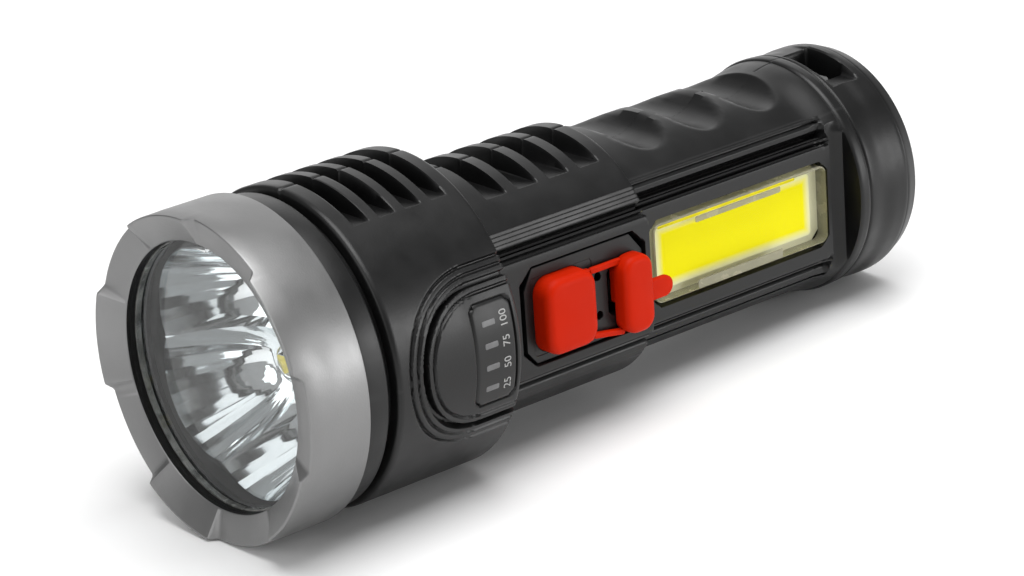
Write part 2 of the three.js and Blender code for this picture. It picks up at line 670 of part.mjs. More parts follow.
// Moves a solid that is centred on the X axis onto one lamp's axis.
function atLamp(body, angle) {
  return body.translate([0, CUP_RING * Math.cos(angle), CUP_RING * Math.sin(angle)]);
}

// A paraboloid cup from its throat to its mouth, grown outwards by a wall.
function cupProfile(wall, steps = 4) {
  const profile = [[CUP_BOTTOM, 0]];
  for (let i = 0; i <= steps; i += 1) {
    const along = i / steps;
    const radius = CUP_THROAT + (CUP_MOUTH - CUP_THROAT) * Math.sqrt(along);
    profile.push([CUP_BOTTOM + along * CUP_DEPTH, radius + wall]);
  }
  return [...profile, [LENS_REAR, 0]];
}

function reflector() {
  const outer = turned(cupProfile(CUP_WALL), CUP_SEGMENTS);
  const inner = turned(cupProfile(0), CUP_SEGMENTS);
  const drill = disc(CUP_BOTTOM - 1, CUP_BOTTOM + 1, CUP_THROAT - 0.1, 0, 16);
  const cups = join(...lampAngles().map((angle) => atLamp(outer, angle)));
  const flange = disc(FLANGE_REAR, LENS_REAR, LENS_RADIUS);
  const hollows = lampAngles().flatMap((angle) => [atLamp(inner, angle), atLamp(drill, angle)]);
  return cut(join(cups, flange), ...hollows);
}

function mainLamp(angle) {
  const half = LED_SIZE / 2;
  const base = box(LED_BOARD_FRONT, LED_BOARD_FRONT + LED_BASE, -half, half, -half, half);
  const domeRear = LED_BOARD_FRONT + LED_BASE - 0.1;
  const dome = turned([
    [domeRear, 0],
    [domeRear, LED_DOME],
    [domeRear + LED_DOME * 0.5, LED_DOME * 0.87],
    [domeRear + LED_DOME * 0.87, LED_DOME * 0.5],
    [domeRear + LED_DOME, 0],
  ], 12);
  return atLamp(join(base, dome), angle);
}

const leadHole = (side, x0, x1) =>
  disc(x0, x1, LEAD_RADIUS + 2 * RUNNING_GAP, 0, 12).translate([0, LEAD_OFFSET, side * LEAD_OFFSET]);

function ledBoard() {
  return disc(LED_BOARD_REAR, LED_BOARD_FRONT, LED_BOARD_RADIUS);
}

// The spreader carries the lamp board on a raised boss and seats on the housing's ledge.
function heatSpreader() {
  const base = disc(SPREADER_SEAT, SPREADER_SEAT + SPREADER_THICKNESS, HEAD_BORE - RUNNING_GAP);
  const boss = disc(SPREADER_SEAT + SPREADER_THICKNESS - 0.1, LED_BOARD_REAR, LED_BOARD_RADIUS - 1);
  const holes = [1, -1].map((side) => leadHole(side, SPREADER_SEAT - 1, LED_BOARD_REAR + 1));
  return cut(join(base, boss), ...holes);
}

// ------------------------------------------------------------ charge indicator
function gaugeWindow() {
  const plate = prismY(gaugeOutline(0), HEAD_BORE, CUT);
  const skin = disc(HEAD_START, HEAD_END, HEAD_RADIUS, HEAD_RADIUS - GAUGE_THICKNESS);
  return plate.intersect(skin);
}

function lightGuide() {
  const [x0, x1] = [GAUGE_LED_X - PIPE_LENGTH, GAUGE_LED_X + PIPE_LENGTH];
  const bar = box(x0, x1, GUIDE_BASE, GUIDE_TOP, -GUIDE_HALF, GUIDE_HALF);
  const pipes = gaugeLedHeights().map((z) => lightPipe(z, GUIDE_BASE + 0.1, PIPE_TOP));
  return join(bar, ...pipes);
}

function gaugeBoard() {
  const bottom = GAUGE_BOARD_TOP - GAUGE_BOARD_THICKNESS;
  const [x0, x1] = [-1, 1].map((side) => GAUGE_LED_X + side * GAUGE_BOARD_HALF_LENGTH);
  return box(x0, x1, bottom, GAUGE_BOARD_TOP, -GUIDE_HALF, GUIDE_HALF);
}

function gaugeLed(z) {
  const [x0, x1] = [-1, 1].map((side) => GAUGE_LED_X + side * GAUGE_LED_HALF_LENGTH);
  const [z0, z1] = [z - GAUGE_LED_HALF_WIDTH, z + GAUGE_LED_HALF_WIDTH];
  return box(x0, x1, GAUGE_BOARD_TOP, GUIDE_BASE - RUNNING_GAP, z0, z1);
}

// -------------------------------------------------------------- control panel
function controlPlate() {
  const outline = octagon(
    POCKET_REAR + PLATE_MARGIN, POCKET_FRONT - PLATE_MARGIN,
    POCKET_HALF - PLATE_MARGIN, POCKET_CORNER - PLATE_MARGIN / 2,
  );
  const buttonHalf = BUTTON_HALF + RUNNING_GAP;
  const holes = [1, -1].map((side) =>
    pegY((PORT_FRONT + STRAP_ROOT) / 2, (side * PIN_HOLE_SPACING) / 2, 0, CUT, PIN_HOLE_RADIUS, 12),
  );
  const button = octagon(STRAP_ROOT - 0.8, BUTTON_FRONT + RUNNING_GAP, buttonHalf, 0.3);
  return cut(
    prismY(outline, POCKET_FLOOR, PLATE_TOP),
    prismY(button, 0, CUT),
    prismY(octagon(PORT_REAR, PORT_FRONT, PORT_HALF, 0.8), 0, CUT),
    ...holes,
  );
}

// The boot is the fixed rim of the silicone moulding, clamped under the plate,
// with the two roots that the port cover's straps bend on.
function buttonBoot() {
  const inner = BUTTON_HALF + RUNNING_GAP / 2;
  const outer = inner + BOOT_WIDTH;
  const bottom = POCKET_FLOOR - BOOT_THICKNESS;
  const [x0, x1] = [STRAP_ROOT - 1.1, BUTTON_FRONT + RUNNING_GAP + BOOT_WIDTH];
  const rim = prismY(octagon(x0, x1, outer, 1.2), bottom, POCKET_FLOOR);
  const hole = octagon(BUTTON_REAR - RUNNING_GAP, BUTTON_FRONT + RUNNING_GAP, inner, 1.0);
  const top = PLATE_TOP;
  const half = STRAP_WIDTH / 2;
  const roots = [1, -1].map((side) => {
    const z = side * STRAP_OFFSET;
    return box(STRAP_ROOT - 0.5, STRAP_ROOT + 0.5, bottom + 0.1, top, z - half, z + half);
  });
  return join(cut(rim, prismY(hole, 0, CUT)), ...roots);
}

function powerButton() {
  const bottom = POCKET_FLOOR + 0.1;
  const shoulder = BUTTON_TOP - BUTTON_TOP_INSET;
  const lower = octagon(BUTTON_REAR, BUTTON_FRONT, BUTTON_HALF, BUTTON_CORNER);
  const upper = octagon(
    BUTTON_REAR + BUTTON_TOP_INSET, BUTTON_FRONT - BUTTON_TOP_INSET,
    BUTTON_HALF - BUTTON_TOP_INSET, BUTTON_CORNER,
  );
  const pusher = pegY(BUTTON_MIDDLE, 0, bottom - PUSHER_LENGTH, bottom + 0.1, PUSHER_RADIUS);
  const skirt = prismY(lower, bottom, shoulder);
  return join(skirt, prismY(upper, shoulder - 0.1, BUTTON_TOP), pusher);
}

// The cover, its plug, its pull tab and its two straps are one moulding.
function portCover() {
  const bottom = PLATE_TOP + RUNNING_GAP;
  const front = COVER_REAR + COVER_LENGTH;
  const middle = (PORT_FRONT + PORT_REAR) / 2;
  const lid = prismY(octagon(COVER_REAR, front, COVER_HALF, COVER_CORNER), bottom, COVER_TOP);
  const plug = octagon(middle - PLUG_LENGTH / 2, middle + PLUG_LENGTH / 2, PLUG_HALF, 0.6);
  const straps = [1, -1].map((side) => strap(side * STRAP_OFFSET, front, bottom));
  return join(lid, prismY(plug, bottom - PLUG_DEPTH, bottom + 0.1), pullTab(), ...straps);
}

// A flat strap whose root is rounded about the line that it bends on.
function strap(z, front, bottom) {
  const radius = STRAP_THICKNESS / 2;
  const height = bottom + radius;
  const half = STRAP_WIDTH / 2;
  const flat = box(front - 0.5, STRAP_ROOT, bottom, bottom + STRAP_THICKNESS, z - half, z + half);
  const root = new THREE.CylinderGeometry(radius, radius, STRAP_WIDTH, 16);
  root.rotateX(Math.PI / 2).translate(STRAP_ROOT, height, z);
  return join(flat, solid(root));
}

function pullTab() {
  const radius = TAB_WIDTH / 2;
  const end = COVER_REAR - TAB_LENGTH + radius;
  const outline = new THREE.Shape();
  outline.moveTo(COVER_REAR + 0.5, TAB_OFFSET - radius);
  outline.lineTo(COVER_REAR + 0.5, TAB_OFFSET + radius);
  outline.lineTo(end, TAB_OFFSET + radius);
  outline.absarc(end, TAB_OFFSET, radius, Math.PI / 2, (3 * Math.PI) / 2, false);
  outline.closePath();
  const bottom = Math.max(MID_PANEL, COB_LENS_TOP) + RUNNING_GAP;
  return prismY(outline, bottom, bottom + TAB_THICKNESS);
}

// ------------------------------------------------------------- side floodlight
function cobBoard() {
  return prismY(octagon(COB_REAR, COB_FRONT, COB_HALF, COB_CORNER), COB_FLOOR, COB_BOARD_TOP);
}

function cobPhosphor() {
  const half = PHOSPHOR_LENGTH / 2;
  const top = COB_BOARD_TOP + PHOSPHOR_THICKNESS;
  return box(COB_MIDDLE - half, COB_MIDDLE + half, COB_BOARD_TOP, top, -PHOSPHOR_HALF, PHOSPHOR_HALF);
}

function cobLens() {
  const outer = octagon(COB_REAR, COB_FRONT, COB_HALF, COB_CORNER);
  const wall = COB_LENS_WALL;
  const inner = octagon(COB_REAR + wall, COB_FRONT - wall, COB_HALF - wall, COB_CORNER / 2);
  const ceiling = COB_LENS_TOP - COB_LENS_ROOF;
  return cut(prismY(outer, COB_BOARD_TOP, COB_LENS_TOP), prismY(inner, 0, ceiling));
}

// ------------------------------------------------------- power and electronics
const PORT_MIDDLE = (PORT_FRONT + PORT_REAR) / 2;

const onCell = (body) => body.translate([0, CELL_AXIS, 0]);

function batteryCell() {
  const body = disc(CELL_START, CELL_END - 1, CELL_RADIUS, 0, 32);
  const nub = disc(CELL_END - 1.1, CELL_END, 3.2, 0, 16);
  return onCell(join(body, nub));
}

// An open trough under the cell, with end walls and posts for the circuit board.
function batterySled() {
  const wall = SLED_WALL;
  const bore = CELL_RADIUS + RUNNING_GAP;
  const rear = CELL_START - RUNNING_GAP - TAB_STRIP - SLED_END_WALL;
  const front = CELL_END + RUNNING_GAP + TAB_STRIP + SLED_END_WALL;
  const tube = onCell(disc(rear, front, bore + wall, 0, 32));
  const hollow = onCell(disc(rear + SLED_END_WALL, front - SLED_END_WALL, bore, 0, 32));
  const open = box(rear - 1, front + 1, SLED_TOP, CUT, -CUT, CUT);
  const slots = [rear - 1, front - SLED_END_WALL - 1].map((x) =>
    box(x, x + SLED_END_WALL + 2, CELL_AXIS, CUT, -TAB_STRIP_HALF - 0.5, TAB_STRIP_HALF + 0.5),
  );
  const posts = postCentres().map(([x, z]) => pegY(x, z, SLED_TOP - 0.2, BOARD_BOTTOM, POST_RADIUS));
  const bores = postCentres().map(([x, z]) =>
    pegY(x, z, BOARD_TOP - SCREW_LENGTH - 0.5, CUT, SCREW_SHANK_RADIUS + 0.05, 10),
  );
  return cut(join(cut(tube, hollow, open, ...slots), ...posts), ...bores);
}

function postCentres() {
  return POST_PLACES.flatMap((x) => [1, -1].map((side) => [BOARD_REAR + x, side * POST_OFFSET]));
}

function controlBoard() {
  const board = box(
    BOARD_REAR, BOARD_REAR + BOARD_LENGTH, BOARD_BOTTOM, BOARD_TOP, -BOARD_HALF, BOARD_HALF,
  );
  const holes = postCentres().map(([x, z]) => pegY(x, z, 0, CUT, SCREW_SHANK_RADIUS + 0.2, 10));
  return cut(board, ...holes);
}

function boardScrew([x, z]) {
  const head = pegY(x, z, BOARD_TOP, BOARD_TOP + SCREW_HEAD_HEIGHT, SCREW_HEAD_RADIUS, 12);
  const shank = pegY(x, z, BOARD_TOP - SCREW_LENGTH, BOARD_TOP + 0.1, SCREW_SHANK_RADIUS, 8);
  return join(head, shank);
}

function powerSwitch() {
  const half = SWITCH_SIZE / 2;
  const [x0, x1] = [BUTTON_MIDDLE - half, BUTTON_MIDDLE + half];
  const top = BOARD_TOP + SWITCH_HEIGHT;
  const well = pegY(BUTTON_MIDDLE, 0, BOARD_TOP + 1.2, CUT, PLUNGER_RADIUS + RUNNING_GAP);
  return box(x0, x1, BOARD_TOP, top, -half, half).subtract(well);
}

function switchPlunger() {
  const top = POCKET_FLOOR + 0.1 - PUSHER_LENGTH - RUNNING_GAP;
  return pegY(BUTTON_MIDDLE, 0, top - PLUNGER_LENGTH, top, PLUNGER_RADIUS);
}

// An upright charging socket whose mouth opens under the port cover.
function chargingSocket() {
  const half = SOCKET_THICKNESS / 2;
  const [x0, x1] = [PORT_MIDDLE - half, PORT_MIDDLE + half];
  const wall = SOCKET_WALL;
  const shell = prismY(octagon(x0, x1, SOCKET_HALF, 0.9), BOARD_TOP, BOARD_TOP + SOCKET_HEIGHT);
  const mouth = prismY(
    octagon(x0 + wall, x1 - wall, SOCKET_HALF - wall, 0.6), BOARD_TOP + SOCKET_BASE, CUT,
  );
  const tongueTop = BOARD_TOP + SOCKET_HEIGHT - 1.0;
  const tongue = box(PORT_MIDDLE - 0.35, PORT_MIDDLE + 0.35, BOARD_TOP + 0.5, tongueTop, -2.6, 2.6);
  return join(shell.subtract(mouth), tongue);
}

// A nickel strip that rises from one end of the cell, clear of the board and the grip's roof.
function cellTab(x0) {
  const top = Math.min(BOARD_BOTTOM, GRIP_BORE_FLAT) - RUNNING_GAP;
  return box(x0, x0 + TAB_STRIP, CELL_AXIS - 3, top, -TAB_STRIP_HALF, TAB_STRIP_HALF);
}

// A wire along a smooth route, as a tube with eight sides.
function wire(points, steps) {
  const section = new THREE.Shape();
  section.absarc(0, 0, LEAD_RADIUS, 0, 2 * Math.PI, false);
  const route = new THREE.CatmullRomCurve3(points.map((p) => new THREE.Vector3(...p)));
  const options = { steps, extrudePath: route, curveSegments: 4, bevelEnabled: false };
  return solid(new THREE.ExtrudeGeometry(section, options));
}

function lampLead(side) {
  const boardFront = BOARD_REAR + BOARD_LENGTH;
  const z = side * LEAD_OFFSET;
  return wire([
    [boardFront - 3, BOARD_TOP + LEAD_RADIUS + 0.1, z],
    [boardFront + 1, BOARD_TOP + LEAD_RADIUS + 0.2, z],
    [boardFront + 5, BOARD_TOP - 3, z],
    [SPREADER_SEAT - 3, LEAD_OFFSET + 0.6, z],
    [SPREADER_SEAT, LEAD_OFFSET, z],
    [LED_BOARD_REAR - RUNNING_GAP, LEAD_OFFSET, z],
  ], 14);
}

// The cell's rear terminal is led forward to the board above the cell.
function cellLead() {
  const rear = CELL_START - TAB_STRIP;
  const height = CELL_AXIS + CELL_RADIUS + LEAD_RADIUS + RUNNING_GAP;
  return wire([
    [rear + TAB_STRIP + RUNNING_GAP, height + 0.4, 0],
    [rear + 6, height, 0],
    [(rear + BOARD_REAR) / 2, height, 0],
    [BOARD_REAR - 12, height, 0],
    [BOARD_REAR - 6, height + 0.4, 0],
    [BOARD_REAR + 2, BOARD_BOTTOM - LEAD_RADIUS - 0.1, 0],
  ], 16);
}

// ------------------------------------------------------------------- assembly
const torch = new THREE.Group();

function place(name, body, material) {
  const mesh = new THREE.Mesh(geometryOf(body), material);
  mesh.name = name;
  torch.add(mesh);
}

const shell = housing();
const halfSpace = (side) =>
  box(0, RIM_TOP, side > 0 ? 0 : -CUT, side > 0 ? CUT : 0, -CUT, CUT);

place("housing_panel_side", shell.intersect(halfSpace(1)), BLACK_ABS);
place("housing_back_side", shell.intersect(halfSpace(-1)), BLACK_ABS);
place("tail_cap", tailCap(), BLACK_ABS);
place("tail_seal", tailSeal(), BLACK_RUBBER);

place("head_collar", headCollar(), BLACK_ABS);
place("bezel_ring", bezelRing(), GUNMETAL);
place("lens_seal", lensSeal(), BLACK_RUBBER);
place("front_lens", disc(LENS_REAR, LENS_FRONT, LENS_RADIUS), CLEAR);
place("reflector", reflector(), MIRROR);
place("led_board", ledBoard(), WHITE_BOARD);
place("heat_spreader", heatSpreader(), ALUMINIUM);
lampAngles().forEach((angle, i) => place(`main_lamp_${i + 1}`, mainLamp(angle), PHOSPHOR));

place("gauge_window", gaugeWindow(), SMOKED);
place("light_guide", lightGuide(), CLEAR);
place("gauge_board", gaugeBoard(), CIRCUIT);
gaugeLedHeights().forEach((z, i) => place(`gauge_led_${100 - 25 * i}`, gaugeLed(z), WHITE_BOARD));

place("control_plate", controlPlate(), BLACK_ABS);
place("button_boot", buttonBoot(), RED_SILICONE);
place("power_button", powerButton(), RED_SILICONE);
place("port_cover", portCover(), RED_SILICONE);

place("cob_board", cobBoard(), WHITE_BOARD);
place("cob_phosphor", cobPhosphor(), PHOSPHOR);
place("cob_lens", cobLens(), CLEAR);

place("battery_cell", batteryCell(), CELL_WRAP);
place("battery_sled", batterySled(), GREY_ABS);
place("cell_tab_rear", cellTab(CELL_START - TAB_STRIP), NICKEL);
place("cell_tab_front", cellTab(CELL_END), NICKEL);
place("cell_lead", cellLead(), BLACK_RUBBER);
place("lamp_lead_upper", lampLead(1), RED_SILICONE);
place("lamp_lead_lower", lampLead(-1), BLACK_RUBBER);
place("control_board", controlBoard(), CIRCUIT);
postCentres().forEach((centre, i) => place(`board_screw_${i + 1}`, boardScrew(centre), NICKEL));
place("power_switch", powerSwitch(), BLACK_ABS);
place("switch_plunger", switchPlunger(), GREY_ABS);
place("charging_socket", chargingSocket(), NICKEL);

export default torch;
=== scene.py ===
"""The looks of a hand torch: five-lamp head, side floodlight, push button and port cover.

Sizes are in millimetres in the row frame: +X is the beam, +Y the control panel, +Z the
fins. Angles run from +Y towards +Z. mesh_piece() turns millimetres into metres.
"""

import json
import math

import bmesh
import bpy
import numpy as np
from mathutils import Matrix, Vector


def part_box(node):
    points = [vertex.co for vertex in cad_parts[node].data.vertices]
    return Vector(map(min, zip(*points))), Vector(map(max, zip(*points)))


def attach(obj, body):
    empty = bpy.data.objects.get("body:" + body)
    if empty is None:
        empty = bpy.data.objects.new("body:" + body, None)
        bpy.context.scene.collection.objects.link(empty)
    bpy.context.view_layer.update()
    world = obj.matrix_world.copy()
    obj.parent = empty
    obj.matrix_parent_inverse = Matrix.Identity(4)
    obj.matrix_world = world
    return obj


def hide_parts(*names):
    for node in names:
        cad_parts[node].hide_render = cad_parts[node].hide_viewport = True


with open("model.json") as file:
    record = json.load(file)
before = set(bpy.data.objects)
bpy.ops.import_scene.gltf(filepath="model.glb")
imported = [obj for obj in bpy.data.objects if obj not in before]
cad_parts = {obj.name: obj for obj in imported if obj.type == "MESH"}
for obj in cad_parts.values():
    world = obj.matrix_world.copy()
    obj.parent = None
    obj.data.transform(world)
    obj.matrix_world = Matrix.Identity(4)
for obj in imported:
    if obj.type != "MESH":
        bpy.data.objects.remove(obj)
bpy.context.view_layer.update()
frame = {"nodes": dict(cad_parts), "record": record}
MM = 0.001
ROOT = "torch"

# -------- driving sizes
# Along the beam, from the tail.
TAIL_END, BEAD_END, FLARE_END = 12.5, 15.0, 21.7
MID_START, HEAD_START, HEAD_END = 63.7, 98.8, 124.6
COLLAR_START, BEZEL_START = 126.0, 130.7
# Radii, bores and the heights of the flats.
TAIL_R, BEAD_R, GRIP_R, MID_R, HEAD_R = 21.5, 21.6, 20.3, 22.45, 27.5
COLLAR_R, BEZEL_R, WINDOW_R = 26.8, 28.0, 22.9
COLLAR_BORE, COLLAR_SEAT, COLLAR_GROOVE = 23.2, 24.1, 25.2
GRIP_BORE, MID_BORE, HEAD_BORE = 15.6, 17.3, 21.6
GRIP_BORE_FLAT, MID_BORE_FLAT = 12.8, 15.6
GRIP_PANEL, MID_PANEL = 17.4, 20.0
# The gutter before the panel, and the shadow line behind each wider section.
GUTTER_END, GUTTER_FLOOR = 18.1, 15.9
EDGE_SHADOW, SHADOW_WIDTH = 0.45, 0.6
# Recesses in the panel, each a rectangle with cut corners.
POCKET = dict(x0=64.7, x1=92.6, half=8.8, corner=2.8)
POCKET_FLOOR = 16.2
COB_RECESS = dict(x0=19.2, x1=61.5, half=7.95, corner=1.9)
COB_FLOOR = 14.0
GAUGE_RECESS = dict(x0=99.85, x1=108.65, half=9.02, corner=1.2)
GAUGE_DEPTH = 0.55
RECESS_RAMP = 0.3
# Fin slots and finger scoops along the top.
HEAD_SLOTS = [(101.9 + 5.3 * i, 105.0 + 5.3 * i) for i in range(4)]
MID_SLOTS = [(66.8 + 6.8 * i, 71.0 + 6.8 * i) for i in range(4)]
HEAD_SLOT_FLOOR, MID_SLOT_FLOOR = 23.4, 19.1
SCOOPS = [26.1 + 13.3 * i for i in range(3)]
SCOOP_R, SCOOP_FLOOR = 6.9, 17.4
# Beside the panel: grooves of (low, high, depth), then steps of (low, high, where the round is as low).
GROOVES = [(11.85, 12.65, 1.9), (10.55, 11.25, 1.1), (11.1, 12.0, 0.5)]
TAIL_STEPS = [(12.4, 13.95, 13.6), (13.95, 14.35, 14.75)]
MID_STEPS = [(12.7, 13.3, 13.3), (13.3, 13.85, 13.85), (13.85, 14.45, 14.45), (14.45, 15.05, 15.05)]
MID_STEP_SHARE = 0.6
LIP, LIP_HEIGHT, LIP_WIDTH = 14.75, 0.14, 0.22
BACK_RIBS, RIB_WIDTH, RIB_DEPTH = (13.2, 14.1), 0.45, 0.5
RIB_ZONE, TOP_ZONE = (10.3, 15.2), (0.9, 2.24)
# U-shaped grooves round the gauge: (radius, width, depth) about their centre.
U_CENTRE = 106.5
U_GROOVES = [(15.45, 0.45, 0.5), (14.0, 0.45, 0.45), (12.35, 0.9, 1.4), (10.7, 0.45, 0.45)]
# Tail cap: the cord's well, the slot from it through the tail face, and the spigot.
EYE_REAR, EYE_FRONT, EYE_HALF, EYE_SLOT_HALF = 5.2, 11.2, 7.5, 4.5
EYE_RECESS, EYE_SLOT_TOP, EYE_FLOOR = 18.0, 16.9, 14.8
SPIGOT_END, SPIGOT_R = 17.0, 15.3
# The bezel's front: lugs on a rim that is dished towards the window.
RIM_FLOOR, RIM_LUG, RIM_DISH, RIM_HEIGHT = 142.7, 1.5, 1.3, 2.9
LUG_HALF, LUG_RAMP = math.radians(18.2), math.radians(2.6)
# Lamps and reflector: the cups stand half a step round from the lugs.
LAMP_ANGLE, LAMP_STEP, LAMP_HALF = math.radians(34), math.radians(72), 1.7
CUP_ANGLE = LAMP_ANGLE + LAMP_STEP / 2
CUP_RING, CUP_MOUTH, CUP_THROAT, CUP_FLOOR, CUP_FLUTES = 10.6, 11.7, 2.7, 119.8, 36
CUP_WIDENING = 0.1
REFLECTOR_TOP, REFLECTOR_EDGE, REFLECTOR_WAVE = 136.0, 22.4, 1.6
REFLECTOR_WALL = 0.4
GLASS_RIM = 1.1
# Charge gauge.
GAUGE_LED_PITCH, GAUGE_SHIFT, DIGIT_SIZE = 3.76, -0.26, 2.05
# Control group: how far its pieces are drawn below and above their nodes, and their own sizes.
PLATE_DROP, PLATE_RISE = 0.75, 0.45
BUTTON_DROP, BUTTON_CORNER, SKIRT_TOP, SKIRT_GAP = 0.9, 3.0, 19.3, 0.12
COVER_DROP, LID_REAR, LID_FRONT, LID_EXTRA = 1.35, 5.4, 11.9, 0.5
TAB_LOW, TAB_HIGH = -4.25, -0.55
PLUG_REAR, PLUG_FRONT, PLUG_HALF = 68.4, 71.6, 3.2
STRAP_PLACE, STRAP_WIDTH, STRAP_SLOPE, STRAP_HALF = 5.75, 1.2, 0.9, 0.5
# Floodlight: rails of (name, low, high) across the cover, and their ends along it.
RAILS, RAIL_ENDS = (("upper", 5.15, 6.25), ("lower", -6.85, -5.2)), (31.0, 51.2)


def node_box(name):
    """A CAD node's lowest and highest corners in millimetres."""
    low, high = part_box(name)
    return low / MM, high / MM


def phosphor_box():
    """The yellow strip is a little larger than its node, out to the soft edge of its painted glow."""
    low, high = node_box("cob_phosphor")
    return low - Vector((1.0, 0, 0.75)), high + Vector((1.0, 0, 0.75))


# -------- materials
def node_tree(name):
    material = bpy.data.materials.new(name)
    material.use_nodes = True
    tree = material.node_tree
    tree.nodes.clear()
    output = tree.nodes.new("ShaderNodeOutputMaterial")
    return material, tree, output


def noise(tree, scale, detail=3.0, stretch=None):
    """Noise fixed to the piece; stretch scales it along each axis."""
    place = tree.nodes.new("ShaderNodeTexCoord")
    source = place.outputs["Object"]
    if stretch:
        mapping = tree.nodes.new("ShaderNodeMapping")
        mapping.inputs["Scale"].default_value = stretch
        tree.links.new(source, mapping.inputs["Vector"])
        source = mapping.outputs["Vector"]
    texture = tree.nodes.new("ShaderNodeTexNoise")
    texture.inputs["Scale"].default_value = scale
    texture.inputs["Detail"].default_value = detail
    tree.links.new(source, texture.inputs["Vector"])
    return texture.outputs["Fac"]


def spread(tree, value, low, high, from_low=0.3, from_high=0.7):
    remap = tree.nodes.new("ShaderNodeMapRange")
    remap.inputs["From Min"].default_value = from_low
    remap.inputs["From Max"].default_value = from_high
    remap.inputs["To Min"].default_value = low
    remap.inputs["To Max"].default_value = high
    tree.links.new(value, remap.inputs["Value"])
    return remap.outputs["Result"]


def two_colours(tree, value, dark, light, low=0.3, high=0.7):
    """Blends from dark to light as value goes from low to high."""
    ramp = tree.nodes.new("ShaderNodeValToRGB")
    ramp.color_ramp.elements[0].position = low
    ramp.color_ramp.elements[0].color = (*dark, 1)
    ramp.color_ramp.elements[1].position = high
    ramp.color_ramp.elements[1].color = (*light, 1)
    tree.links.new(value, ramp.inputs["Fac"])
    return ramp.outputs["Color"]


def solid_material(name, colour, rough, metal=0.0, vary=0.12, patch=60.0, grain=2500.0,
                   bump=0.08, specular=0.5, stretch=None, wear_and_highlight=0.0):
    """A moulded, cast or brushed surface: patchy colour and gloss, a fine grain, edges lightened as wear and
    as a painted highlight.
    """
    material, tree, output = node_tree(name)
    link = tree.links.new
    shader = tree.nodes.new("ShaderNodeBsdfPrincipled")
    shader.inputs["Metallic"].default_value = metal
    shader.inputs["Specular IOR Level"].default_value = specular
    dark = [c * (1 - vary) for c in colour]
    light = [min(1.0, c * (1 + vary)) for c in colour]
    tint = two_colours(tree, noise(tree, patch), dark, light)
    # Outer edges lightened: part wear, part painted highlight.
    if wear_and_highlight:
        tint = worn_and_highlit_edges(tree, tint, [min(1.0, c * (1 + wear_and_highlight) + 0.01) for c in colour])
    link(tint, shader.inputs["Base Color"])
    gloss = noise(tree, patch * 3, 4.0, stretch)
    link(spread(tree, gloss, rough * 0.85, rough * 1.15), shader.inputs["Roughness"])
    grain_normal(tree, shader, noise(tree, grain, 2.0, stretch), bump, 0.0002)
    link(shader.outputs["BSDF"], output.inputs["Surface"])
    return material


def grain_normal(tree, shader, height, strength, distance):
    """Bumps the surface by a height."""
    surface = tree.nodes.new("ShaderNodeBump")
    surface.inputs["Strength"].default_value = strength
    surface.inputs["Distance"].default_value = distance
    tree.links.new(height, surface.inputs["Height"])
    tree.links.new(surface.outputs["Normal"], shader.inputs["Normal"])


def worn_and_highlit_edges(tree, tint, worn_highlit_colour):
    """Lightens the outer edges: wear where hands rub, and a painted highlight where rounded edges catch the
    light.
    """
    geometry = tree.nodes.new("ShaderNodeNewGeometry")
    edge = spread(tree, geometry.outputs["Pointiness"], 0.0, 0.6, 0.52, 0.62)
    mix = tree.nodes.new("ShaderNodeMix")
    mix.data_type = "RGBA"
    mix.inputs["B"].default_value = (*worn_highlit_colour, 1)
    tree.links.new(edge, mix.inputs["Factor"])
    tree.links.new(tint, mix.inputs["A"])
    return mix.outputs["Result"]


def clear_material(name, tint, gloss, edge_gloss, rough=0.04, mirror=1.0):
    """Clear moulded plastic: what is behind it shows, with more gloss at grazing angles."""
    material, tree, output = node_tree(name)
    link = tree.links.new
    through = tree.nodes.new("ShaderNodeBsdfTransparent")
    through.inputs["Color"].default_value = (*tint, 1)
    body = tree.nodes.new("ShaderNodeBsdfPrincipled")
    body.inputs["Metallic"].default_value = mirror
    haze = noise(tree, 300.0)
    link(two_colours(tree, haze, [0.85 * c for c in tint], tint), body.inputs["Base Color"])
    link(spread(tree, haze, rough * 0.7, rough * 1.6), body.inputs["Roughness"])
    facing = tree.nodes.new("ShaderNodeLayerWeight")
    facing.inputs["Blend"].default_value = 0.35
    share = spread(tree, facing.outputs["Facing"], gloss, edge_gloss, 0.2, 1.0)
    mix = tree.nodes.new("ShaderNodeMixShader")
    link(share, mix.inputs["Fac"])
    link(through.outputs["BSDF"], mix.inputs[1])
    link(body.outputs["BSDF"], mix.inputs[2])
    link(mix.outputs["Shader"], output.inputs["Surface"])
    return material


def phosphor_material():
    """Yellow phosphor that pales towards the edges of its strip as a painted glow, with a faint emission that
    paints light on the unlit lamp.
    """
    low, high = phosphor_box()
    material, tree, output = node_tree("phosphor")
    link = tree.links.new
    place = tree.nodes.new("ShaderNodeTexCoord")
    axes = tree.nodes.new("ShaderNodeSeparateXYZ")
    link(place.outputs["Object"], axes.inputs["Vector"])
    middle = (low + high) / 2 * MM
    reach = (high - low) / 2 * MM
    # Paler towards the strip's edges: the painted soft edge of the glow.
    edges = [fade(tree, axes.outputs[a], middle[i], reach[i] - 0.0016, reach[i] - 0.0002)
             for a, i in (("X", 0), ("Z", 2))]
    edge = tree.nodes.new("ShaderNodeMath")
    edge.operation = "MAXIMUM"
    link(edges[0], edge.inputs[0])
    link(edges[1], edge.inputs[1])
    colour = two_colours(tree, edge.outputs["Value"], (0.87, 0.78, 0.0), (0.78, 0.77, 0.5), 0.0, 1.0)
    shader = tree.nodes.new("ShaderNodeBsdfPrincipled")
    # A faint emission: painted glow on the unlit phosphor.
    shader.inputs["Emission Strength"].default_value = 0.06
    shader.inputs["Specular IOR Level"].default_value = 0.1
    link(colour, shader.inputs["Base Color"])
    link(colour, shader.inputs["Emission Color"])
    link(spread(tree, noise(tree, 900.0), 0.5, 0.7), shader.inputs["Roughness"])
    grain_normal(tree, shader, noise(tree, 3000.0), 0.2, 0.0001)
    link(shader.outputs["BSDF"], output.inputs["Surface"])
    return material


